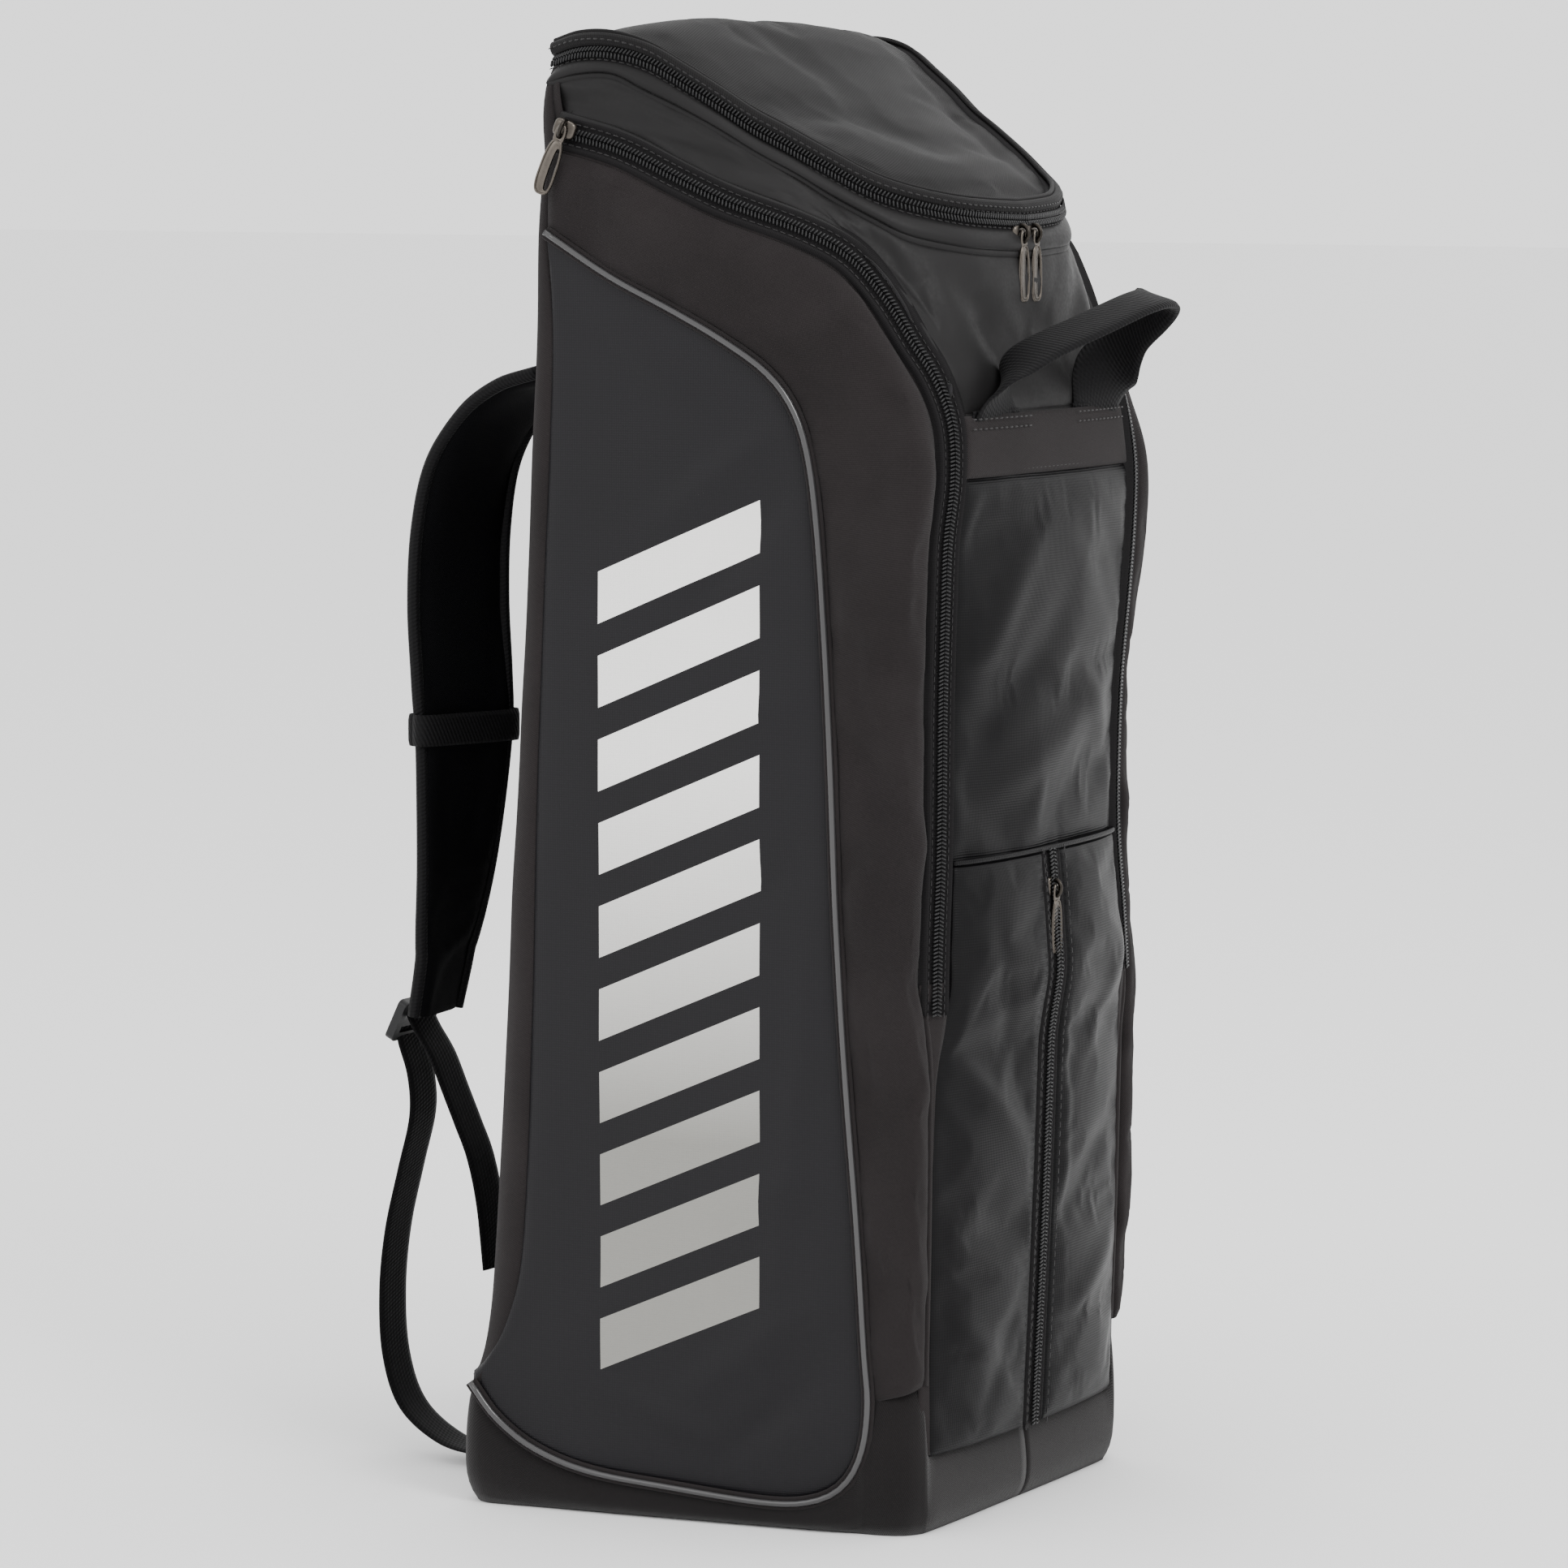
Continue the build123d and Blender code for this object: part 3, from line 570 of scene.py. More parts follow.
def between(tree, value, low, high):
    """One where a socket lies between two numbers, or else zero."""
    return times(tree, math_node(tree, "GREATER_THAN", value, low), math_node(tree, "LESS_THAN", value, high))


def printed_side(name, colour):
    """Side fabric with a printed column of plain slanted bars, white above and silver below."""
    material = cloth(name, colour, "grid", 0.00125, 0.50, strength=0.45, sheen=0.03, specular=0.20)
    tree = material.node_tree
    shader = tree.nodes["Principled BSDF"]
    y, z = uv_axes(tree)
    slant = plus(tree, z, times(tree, y, BAR_SLANT))
    inside = between(tree, y, PRINT_FRONT, PRINT_REAR)
    column = times(tree, inside, between(tree, slant, PRINT_LOW, PRINT_HIGH))
    steps = math_node(tree, "DIVIDE", math_node(tree, "SUBTRACT", slant, PRINT_LOW), BAR_PITCH)
    mask = times(tree, column, math_node(tree, "LESS_THAN", math_node(tree, "FRACT", steps), BAR_SHARE))
    ink = mix_colour(tree, ramp_node(tree, z, 0.20, 0.40, 0, 1), SILVER, WHITE)
    fabric_colour = shader.inputs["Base Color"].links[0].from_socket
    tree.links.new(mix_colour(tree, mask, fabric_colour, ink), shader.inputs["Base Color"])
    return material


CANVAS = cloth("canvas", (0.0165, 0.0140, 0.0143), "plain", 0.0011, 0.88,
               strength=0.6, sheen=0.04, vary=0.28, specular=0.10)
# Painted shade: the canvas again, darkened for the bag's foot and underside.
PAINTED_SHADE_CANVAS = cloth("painted_shade_base_canvas", (0.0085, 0.0073, 0.0075), "plain", 0.0011, 0.88,
                    strength=0.6, vary=0.28, specular=0.08)
SIDE = printed_side("side_fabric", (0.0066, 0.0060, 0.0076))
RIPSTOP = cloth("ripstop", (0.0026, 0.0024, 0.0028), "rib", 0.0014, 0.38,
                strength=0.45, sheen=0.0, specular=0.105)
LID = cloth("lid_fabric", (0.0062, 0.0058, 0.0060), "twill", 0.0013, 0.55,
            strength=0.45, sheen=0.0, specular=0.10)
COATED = smooth_coat("coated_fabric", (0.0125, 0.0120, 0.0122), 0.48, 520, 0.05, specular=0.12)
TAPE = cloth("zip_tape", (0.0075, 0.0070, 0.0074), "rib", 0.0009, 0.70,
             strength=0.3, sheen=0.0, specular=0.08)
BACK = cloth("back_mesh", (0.0080, 0.0078, 0.0085), "grid", 0.0026, 0.8,
             strength=0.9, sheen=0.02, specular=0.08)
LINING = cloth("lining", (0.020, 0.019, 0.021), "plain", 0.0009, 0.62, strength=0.25, specular=0.12)
WEBBING = cloth("webbing", (0.0040, 0.0038, 0.0042), "twill", 0.0022, 0.66,
                strength=0.9, sheen=0.02, specular=0.10)
PAD = cloth("strap_pad", (0.0026, 0.0026, 0.0031), "plain", 0.0012, 0.78,
            strength=0.5, sheen=0.0, specular=0.05)
THREAD = cloth("thread", (0.012, 0.011, 0.0115), "twill", 0.0006, 0.6, strength=0.4, specular=0.15)
COIL = smooth_coat("zip_coil", (0.0045, 0.0045, 0.0050), 0.34, 900, 0.1, specular=0.30)
CORD = smooth_coat("piping_cord", (0.028, 0.027, 0.028), 0.20, 700, 0.06, specular=0.65)
PLASTIC = smooth_coat("buckle_plastic", (0.006, 0.006, 0.0065), 0.42, 800, 0.15, specular=0.3)
BOARD = smooth_coat("board", (0.05, 0.045, 0.04), 0.8, 300, 0.4)
METAL = gunmetal("zip_metal")


# ---- pieces and the bodies they follow --------------------------------------------------
def settle_on(piece, body, slot, *nodes):
    """The piece rides on a body and stands for CAD nodes; the slot is not used."""
    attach(piece, body)
    if nodes:
        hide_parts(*nodes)
    return piece


def bend_between(piece, a, b, start, end, slot, *nodes):
    """The piece keeps its place, its transform baked into its mesh; bodies a and b and the points start and
    end in millimetres are not used.
    """
    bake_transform(piece)
    if nodes:
        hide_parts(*nodes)
    return piece


# The left cover folds along the straight line between these two ends of its zip.
FLAP_TOP = np.array([-148.1, 46, 711.5])
FLAP_LOW = np.array([-109.625, -125, 273])
FOLD_REACH = 16.0


def flap_fold(side):
    """Start and end of the bend across the side cover's fold line, for the side -1 or 1."""
    mid = (FLAP_TOP + FLAP_LOW) / 2
    run = unit(FLAP_LOW - FLAP_TOP)
    wall_out = unit(np.array([-1, -SPLAY, 0]))
    n = unit(np.cross(run, wall_out))
    if n[1] > 0:
        n = -n
    return on_path(side, mid - n * FOLD_REACH), on_path(side, mid + n * FOLD_REACH)


def side_name(side):
    """Name of the bag's side."""
    return "left" if side < 0 else "right"


def on_path(side, points):
    """A left line, or its mirror image for the right side."""
    return points if side < 0 else mirror_x(points)


def on(side, g):
    """A left grid, or its mirror image for the right side, with its normals still outwards."""
    return g if side < 0 else mirror_x(g)[:, ::-1]


def with_flap(piece, side, slot, *nodes):
    """The piece keeps its place on the side cover; the cover's fold line is worked out but not used."""
    start, end = flap_fold(side)
    return bend_between(piece, "bag", f"{side_name(side)}_flap", start, end, slot, *nodes)


# ---- the left side's seam curves ---------------------------------------------------------
zip_line = smooth([c + o for c, o in zip(SIDE_ZIP, SIDE_ZIP_OUT)], SEAM_POINTS)
zip_mid, zip_out = zip_line[:, :3], unit(zip_line[:, 3:])
zip_run = unit(np.gradient(zip_mid, axis=0))
zip_side = unit(np.cross(zip_run, zip_out))
cover_rail = zip_mid + zip_side * TAPE_WIDE
bag_rail = zip_mid - zip_side * TAPE_WIDE
piping = smooth(on_side(PIPING), SEAM_POINTS)
rear = smooth(on_side(REAR_SEAM), SEAM_POINTS)
wall_normal = unit(np.array([-1, -SPLAY, 0]))

# ---- side panels, gussets and piping -------------------------------------------------------
flat_side = ruled(read_at(piping, np.linspace(0, 1, SEAM_POINTS)), rear, 46)
flat_side = towards(np.swapaxes(flat_side, 0, 1), (-1, 0, 0))
side_plan = flat_side[..., 1:]
side_grid = folds(settle(flat_side, pressure=1.2, grow=0.012, cap=7, seed=3), [
    ((-128, -45, 570), (-140, 20, 520), 9, 3.2),
    ((-126, -50, 540), (-136, 0, 480), 8, -3.0),
    ((-150, 60, 640), (-140, 0, 585), 9, 2.6),
    ((-124, -55, 430), (-134, -10, 415), 9, 2.4),
    ((-124, -58, 350), (-132, -20, 330), 8, -2.2),
    ((-122, -70, 120), (-140, 0, 70), 9, 3.2),
    ((-120, -70, 84), (-134, -20, 40), 8, -2.8),
    ((-122, -70, 190), (-136, -15, 160), 10, 2.4),
    ((-124, -62, 300), (-128, -40, 90), 8, 1.8),
    ((-145, 50, 70), (-135, -10, 45), 7, 2.0),
])


def outer_seam():
    """The gusset's front edge: along the side zip and on down to the base seam."""
    tail = smooth([cover_rail[-1], (-105, -124, 255), (-103.5, -123, 238), (-102.5, -121.5, 150),
                   (-101.5, -119.5, 76)], 60)
    return smooth(np.concatenate([cover_rail[::5], tail[4::6]]), GUSSET_POINTS)


gusset_front = outer_seam()


def padded_gusset():
    """The gusset as a grid that swells outwards, most of all at the zip's shoulder."""
    piping_side = smooth(on_side(PIPING[:15]), GUSSET_POINTS)
    down = np.linspace(0, 1, GUSSET_POINTS)
    lower = ease(np.clip((down - 0.18) / 0.2, 0, 1))
    shoulder = 7 * np.exp(-((down - 0.36) / 0.1) ** 2)
    swell = 6 + 7 * lower + shoulder - 5 * np.clip((down - 0.9) / 0.1, 0, 1)
    outwards = unit(np.outer(1 - lower, (-0.93, -0.2, 0.25)) + np.outer(lower, (-0.76, -0.65, 0)))
    t = np.linspace(0, 1, 34)[None]
    g = gusset_front[:, None] * (1 - t)[..., None] + piping_side[:, None] * t[..., None]
    return towards(g + outwards[:, None] * (swell[:, None] * np.sin(pi * t**0.68))[..., None], (-1, -0.5, 0))


gusset_grid = folds(settle(padded_gusset(), pressure=0.6, grow=0.007, cap=3, seed=11), [
    ((-126, -90, 600), (-100, -128, 560), 9, -3.4),
    ((-124, -60, 610), (-118, -90, 640), 9, 2.8),
    ((-118, -112, 500), (-126, -80, 470), 10, 2.8),
    ((-110, -124, 440), (-124, -85, 400), 9, -2.8),
    ((-106, -128, 370), (-124, -90, 330), 10, 3.2),
    ((-106, -126, 290), (-122, -95, 300), 8, -2.8),
    ((-105, -122, 230), (-121, -96, 245), 8, 2.8),
    ((-104, -120, 130), (-119, -98, 160), 9, 2.4),
    ((-145, 30, 690), (-140, 10, 650), 10, 1.5),
])


def piping_tube(side):
    """Piping cord with its flange, round the side panel."""
    name = side_name(side)
    path = on_path(side, piping + wall_normal * 2.2)
    cord = tube(f"{name}_piping_cord", path, 1.75, CORD, sides=10)
    with_flap(cord, side, "piping", f"{name}_piping", f"{name}_flap_piping")
    beside = unit(np.cross(np.gradient(piping, axis=0), wall_normal)) * 2.108
    for tag, shift in (("inner", beside), ("outer", -beside)):
        path = on_path(side, piping + shift + wall_normal * 1.1)
        welt = tube(f"{name}_piping_welt_{tag}", path, 1.5, CANVAS, sides=6, flat=0.6,
                    normal=on_path(side, wall_normal))
        with_flap(welt, side, "piping")


def build_side(side):
    """Side panel, gusset and piping of one side."""
    name = side_name(side)
    uv = side_plan if side < 0 else side_plan[:, ::-1]
    panel = fabric(f"{name}_side_cloth", on(side, side_grid), SIDE, 2.2, seam=2.4, seam_reach=4, uv=uv,
                   lining=LINING)
    with_flap(panel, side, "side_fabric", f"{name}_side_panel", f"{name}_flap_panel")
    gusset = fabric(f"{name}_gusset_cloth", on(side, gusset_grid), CANVAS, 2.0, seam=2.0, lining=LINING)
    with_flap(gusset, side, "canvas", f"{name}_gusset", f"{name}_flap_gusset")
    piping_tube(side)


# ---- seams and zips -------------------------------------------------------------------------
def seam_cord(name, path, out, material, radius=2.6, sink=3.2):
    """Folded seam allowance, sunk under the two fabrics that meet there."""
    out = np.broadcast_to(np.asarray(out, float), path.shape)
    return tube(name, path - unit(out) * sink, radius, material, sides=8)


def build_seams(side):
    """Seam allowances of one side and the patch below the zip's end."""
    name = side_name(side)
    cover_out = on_path(side, (-0.6, -0.8, 0.1))
    cord = seam_cord(f"{name}_seam_cover", on_path(side, gusset_front), cover_out, CANVAS)
    with_flap(cord, side, "canvas")
    for tag, path, out in (("rear", rear, (-0.9, 0.3, 0)), ("back", back_edge, (-0.6, 0.8, 0)),
                           ("corner", rear_edge, (-0.9, 0.3, 0))):
        out = np.broadcast_to(unit(np.array(out)), path.shape)
        wide = on_path(side, np.cross(np.gradient(path, axis=0), out))
        strip = ribbon(f"{name}_seam_{tag}", on_path(side, path - out * 4.6), wide, 10, 2.4, CANVAS)
        settle_on(strip, "bag", "canvas")
    end = zip_mid[-1]
    low = smooth([end + (0, -0.5, 16), end + (0, -0.2, 2), (-103, -123.4, 262), (-102.6, -122.6, 246),
                  (-101.5, -121, 200), (-100.8, -119.6, 120), (-100, -118.6, 42)], 60)
    wide = np.interp(low[:, 2], [42, 236, 262, 290], [9, 9, 18, 20])
    behind = unit(np.array([0.5, 0.85, 0])) * 1.6
    patch = ribbon(f"{name}_zip_end", on_path(side, low + behind), on_path(side, (0.94, -0.33, 0)), wide, 2.0,
                   CANVAS)
    settle_on(patch, "bag", "canvas")


# A zip tape's section: how far across it is, as a share of its width, and how proud it stands there.
TAPE_ACROSS = np.array([0.0, 0.1, 0.22, 0.36, 0.5, 0.64, 0.78, 0.9, 1.0, 1.2, 1.45])
TAPE_WELT = np.array([0.2, 0.5, 0.2, 0.0, 0.1, 0.6, 1.5, 1.6, 0.2, -1.8, -2.6])
TAPE_FLAT = np.minimum(TAPE_WELT, 0) * 1.4
TOOTH, TOOTH_PITCH = (3.5, 1.45, 1.7), 2.0
STITCH, STITCH_PITCH = (3.0, 0.75, 0.6), 4.2


def stitches(name, points, out, size):
    """A row of stitches along points, one for each point."""
    out = np.broadcast_to(np.asarray(out, float), points.shape)
    return beads(name, points, np.gradient(points, axis=0), out, size, THREAD)


def zip_half(name, mid, out, across, width, proud=1.2, section=TAPE_WELT):
    """One tape with its row of coil teeth: across points from the chain to the tape's seam."""
    g = (mid[:, None] + across[:, None] * (TAPE_ACROSS * width)[None, :, None]
         + out[:, None] * (section * proud)[None, :, None])
    tape = fabric(f"{name}_tape", towards(g, out.mean(0)), TAPE, 1.0, seam=0.3, seam_reach=1)
    length = np.linalg.norm(np.gradient(mid, axis=0), axis=1).sum()

    def spaced(pitch):
        at = np.linspace(0, 1, int(length / pitch))
        return read_at(mid, at), unit(read_at(out, at)), unit(read_at(across, at))

    m, o, a = spaced(TOOTH_PITCH)
    slanted = a + unit(np.gradient(m, axis=0)) * 0.38
    teeth = beads(f"{name}_teeth", m + a * 1.65 + o * 1.7, slanted, o, TOOTH, COIL)
    m, o, a = spaced(STITCH_PITCH)
    seam = beads(f"{name}_stitches", m + a * width * 0.62 + o * 0.9 * proud, np.gradient(m, axis=0), o,
                 STITCH, THREAD)
    return tape, teeth, seam


def build_side_zip(side):
    """Side zip: the bag's half rides on the bag; the cover's half keeps its place."""
    name = side_name(side)
    mid, out = on_path(side, zip_mid), on_path(side, zip_out)
    across = on_path(side, zip_side)
    for n, piece in enumerate(zip_half(f"{name}_zip_bag", mid, out, -across, TAPE_WIDE)):
        settle_on(piece, "bag", "zip_coil", *([f"{name}_side_zip"] if n == 0 else []))
    for piece in zip_half(f"{name}_zip_cover", mid, out, across, TAPE_WIDE):
        with_flap(piece, side, "zip_coil")


# ---- front panel, pocket and handle band ---------------------------------------------------
def zip_bag_rail(low, high):
    """The bag side's zip seam between two heights, in the front wall."""
    keep = (bag_rail[:, 2] <= high) & (bag_rail[:, 2] >= low) & (bag_rail[:, 1] < -100)
    return bag_rail[keep]


panel_left = smooth([*zip_bag_rail(275, 547)[::4], (-96, -122.5, 262), (-99, -121, 240),
                     (-100, -119.5, 150), (-99.5, -118.5, 42)], HALF_POINTS)


def across_front(left, count, forward, power=1.0):
    """Rows from a left edge to its mirror image, bowed forwards in the middle."""
    s = np.linspace(-1, 1, count)
    g = np.empty((len(left), count, 3))
    g[..., 0] = -left[:, None, 0] * s[None]
    g[..., 1] = left[:, None, 1] - np.asarray(forward)[:, None] * (1 - np.abs(s[None]) ** 2.6) ** power
    g[..., 2] = left[:, None, 2]
    return towards(g, (0, -1, 0))


def build_front():
    """Front ripstop panel behind the pocket and below the handle band."""
    bow = 4 + 5 * np.sin(pi * np.clip((panel_left[:, 2] - 330) / 230, 0, 1))
    g = across_front(panel_left, 84, bow)
    g = settle(g, pressure=0.7, grow=0.008, cap=4, seed=23)
    g = folds(g, [
        ((-78, -130, 440), (-30, -134, 510), 11, 3.2),
        ((-80, -130, 400), (10, -136, 480), 13, -3.0),
        ((-60, -132, 380), (60, -134, 430), 12, 2.6),
        ((20, -134, 520), (70, -130, 470), 10, -2.4),
        ((30, -134, 440), (80, -128, 380), 11, 2.4),
        ((-70, -130, 530), (-20, -132, 540), 9, -1.6),
    ])
    panel = fabric("front_cloth", g, RIPSTOP, 1.6, seam=2.2, lining=LINING)
    settle_on(panel, "bag", "ripstop", "front_panel")


pocket_corner = zip_bag_rail(275, 352)[0] + (0.4, -1.4, 0)
pocket_left = smooth([pocket_corner, *(zip_bag_rail(275, 330)[::6] + (0, -1.2, 0)), (-97, -123.5, 258),
                      (-99.6, -122, 236), (-100.4, -121, 150), (-98, -120, 41)], HALF_POINTS)
# Creases of the pocket's panels: start, end, width and height.
POCKET_CREASES = {
    "left": [
        ((-88, -128, 250), (-30, -136, 200), 9, 2.4), ((-90, -126, 180), (-20, -137, 150), 10, -2.2),
        ((-85, -128, 110), (-30, -134, 70), 9, 2.4), ((-60, -134, 320), (-40, -136, 240), 8, -1.4),
        ((-20, -136, 120), (-60, -132, 52), 8, -1.8),
    ],
    "right": [
        ((30, -136, 230), (90, -126, 290), 9, 2.2), ((25, -136, 160), (85, -128, 200), 10, -2.2),
        ((20, -136, 90), (85, -126, 130), 9, 2.2), ((16, -136, 300), (22, -136, 60), 4, 1.2),
    ],
}


def build_pocket():
    """Two pocket panels, the placket between them with its zip, and the bound top edge."""
    top = pocket_left[0, 2]
    fullness = np.sin(pi * np.clip((top + 14 - pocket_left[:, 2]) / (top - 10), 0, 1) ** 0.6)
    whole = across_front(pocket_left, 97, 6.5 + 7 * fullness, 0.8)
    x = whole[0, :, 0]
    for name, part, seed in (("left", x <= -POCKET_EDGE, 31), ("right", x >= POCKET_EDGE, 37)):
        g = settle(whole[:, part], pressure=0.6, grow=0.007, cap=2.5, seed=seed)
        g = folds(g, POCKET_CREASES[name])
        piece = fabric(f"{name}_pocket_cloth", g, RIPSTOP, 1.5, seam=1.6, lining=LINING)
        settle_on(piece, "bag", "ripstop", f"{name}_pocket_panel")
    hem = tube("pocket_top_binding", whole[0] + (0, 0.8, 0.8), 1.4, RIPSTOP, sides=8, flat=0.75,
               normal=(0, -1, 0.2))
    settle_on(hem, "bag", "ripstop", "pocket_top_seam")
    centre = whole[:, whole.shape[1] // 2]
    at = np.linspace(0, 1, len(whole))
    middle = np.stack([np.interp(np.linspace(0, 1, 80), at, centre[:, k]) for k in range(3)], 1)
    out = np.tile(FRONT, (len(middle), 1))
    for tag, way in (("left", -1.0), ("right", 1.0)):
        across = np.tile((way, 0, 0), (len(middle), 1))
        halves = zip_half(f"pocket_zip_{tag}", middle + (0, 2.0, 0), out, across, POCKET_EDGE + 1.5, 0.8)
        for n, piece in enumerate(halves):
            settle_on(piece, "bag", "zip_coil", *(["pocket_zip"] if n == 0 and tag == "left" else []))
    for tag, way in (("left", -1), ("right", 1)):
        p = read_at(middle + (way * (POCKET_EDGE + 3.2), -0.9, 0), np.linspace(0, 1, 63))
        settle_on(stitches(f"placket_stitches_{tag}", p, FRONT, (3.2, 0.8, 0.7)), "bag", "ripstop")


def build_band():
    """Canvas band that the haul handle is sewn behind."""
    left = smooth(zip_bag_rail(543, 582), 16)
    g = across_front(left, 70, np.full(16, 4.0))
    g = folds(g, [((-70, -130, 560), (60, -132, 566), 6, -0.8)])
    band = fabric("handle_band_cloth", g, CANVAS, 2.4, seam=1.4, seam_reach=2)
    settle_on(band, "bag", "canvas", "handle_band")
    rows = [("low", 549, -80, 80)]
    for foot, middle in (("left", -52), ("right", 53)):
        rows += [(f"{foot}_{tag}", z, middle - 26, middle + 26) for tag, z in (("high", 576), ("under", 571))]
    for tag, z, low, high in rows:
        x = np.linspace(low, high, int((high - low) / STITCH_PITCH))
        y = left[:, 1].mean() - 4.3 * (1 - np.abs(x / 86) ** 2.6)
        p = np.stack([x, y, np.full(len(x), z)], 1)
        settle_on(stitches(f"band_stitches_{tag}", p, FRONT, (3.1, 0.8, 0.7)), "bag", "canvas")


# ---- collar, lid facing and lid ---------------------------------------------------------------
def across_bag(left):
    """A curve that ends on the middle plane, carried on over the other side."""
    return np.concatenate([left, mirror_x(left[:-1])[::-1]])


rail_top = zip_bag_rail(575, 584)[0]
collar_low = smooth([*bag_rail[bag_rail[:, 2] > 586][::4], (rail_top[0], rail_top[1] + 1, 579),
                     (-60, -129.5, 577), (-30, -130.5, 577), (0, -130.5, 577)], HALF_POINTS)
collar_low[-1, 0] = 0
facing_line = smooth(FACING, HALF_POINTS)
lid_line = smooth(LID_ZIP, HALF_POINTS)
facing_line[-1, 0] = lid_line[-1, 0] = 0


def build_collar():
    """Coated collar between the side zips and the lid's facing strip."""
    g = ruled(across_bag(collar_low), across_bag(facing_line), 26, bulge=3.0)
    g = np.swapaxes(g, 0, 1)
    g = towards(g, (0, -1, 0.2))
    g = settle(g, pressure=0.6, grow=0.006, cap=3, seed=41)
    g = folds(g, [
        ((-78, -112, 640), (-50, -124, 605), 9, 1.8),
        ((78, -112, 640), (50, -124, 605), 9, 1.8),
        ((-66, -114, 650), (-30, -126, 600), 8, -1.5),
        ((-128, -20, 700), (-110, -70, 672), 9, 1.2),
        ((70, -115, 655), (40, -126, 600), 9, -1.6),
    ])
    collar = fabric("collar_cloth", g, COATED, 2.4, seam=1.8, lining=LINING)
    settle_on(collar, "bag", "coated_fabric", "collar")


def away_from_lid():
    """Level directions straight out from the lid's zip."""
    away = unit(np.cross(unit(np.gradient(lid_line, axis=0)), (0.0, -0.50, 0.86)))
    middle = np.array([0, 20, lid_line[:, 2].mean()])
    away *= np.sign((away * (lid_line - middle)).sum(1))[:, None]
    away[:, 2] = 0
    return unit(away)


lid_away = away_from_lid()


def build_facing():
    """Strip below the lid's zip, with both halves of that zip."""
    low, high, away = across_bag(facing_line), across_bag(lid_line), across_bag(lid_away)
    s = np.linspace(0, 1, 12)[None, :, None]
    g = low[:, None] * (1 - s) + high[:, None] * s + away[:, None] * (3.5 * np.sin(pi * s**0.8))
    g = towards(g, (0, -1, 0.2))
    strip = fabric("lid_facing_cloth", g, COATED, 2.0, seam=2.0, seam_reach=2.4)
    settle_on(strip, "bag", "coated_fabric", "lid_facing")
    for tag, path, out, radius in (("collar", low, away, 3.0), ("facing", high, away, 3.0),
                                   ("band", across_bag(collar_low), FRONT, 2.6)):
        settle_on(seam_cord(f"seam_{tag}", path, out, COATED, radius, 3.4), "bag", "coated_fabric")
    mid = high + away * 3.2
    up = np.broadcast_to(unit(np.array([0.0, -0.35, 0.94])), mid.shape)
    out = unit(away + up * 0.25)
    across = unit(np.cross(np.cross(out, up), out))
    for piece in zip_half("lid_zip_bag", mid, out, -across, 6.5, 0.6, TAPE_FLAT):
        settle_on(piece, "bag", "zip_coil")
    for piece in zip_half("lid_zip_lid", mid, out, across, 6.5, 0.6, TAPE_FLAT):
        with_lid(piece, "zip_coil")


REAR_POINTS = 120
back_edge = smooth([(-143, 129, 42), (-143, 122, 120), (-142, 110, 300), (-141, 99.5, 450),
                    (-141, 89.5, 600), (-141, 85, 668), (-140, 82.5, 700), (-137, 81.5, 722),
                    (-128, 81, 741), (-112, 81, 752), (-88, 81, 757)], REAR_POINTS)
rear_edge = smooth([*on_side(REAR_SEAM)[::-1], (-156, 74, 700), (-154, 72, 716), (-150, 79, 737),
                    (-141, 84, 751), (-122, 86, 760), (-92, 84, 763)], REAR_POINTS)


def with_lid(piece, slot, *nodes):
    """The piece keeps its place; the bend from the bag's back edge to the lid is not made."""
    return bend_between(piece, "bag", "lid", (0, 83, 752), (0, 66, 760), slot, *nodes)


def lid_surface(rear_line, cut):
    """The lid's crowned grid: its rear edge, its two sides down to point cut, and its front edge."""
    edge = lid_line + (0, 2.0, 7.0) - lid_away
    left = edge[:cut]
    along = np.linspace(0, 1, len(rear_line))
    front_line = read_at(across_bag(edge[cut - 1:]), along)
    g = coons(left, mirror_x(left), rear_line, front_line)
    ridge = 9.0 * np.exp(-((g[..., 1] - 46) / 34) ** 2) + 3.0
    down = np.linspace(0, 1, cut)
    fade = np.clip(np.minimum(down, 1 - down)[:, None] * 9, 0, 1)
    g[..., 2] += ridge * np.sin(pi * along[None]) ** 0.45 * fade
    return towards(g, (0, -0.4, 1))


def lid_rear_line(count):
    """The lid's rear edge, level with the hinge."""
    corner = (lid_line + (0, 2.0, 7.0) - lid_away)[0]
    line = np.stack([np.linspace(corner[0], -corner[0], count), np.full(count, corner[1]),
                     corner[2] - 1 + 2 * np.sin(pi * np.linspace(0, 1, count))], 1)
    line[[0, -1]] = corner, mirror_x(corner)
    return line


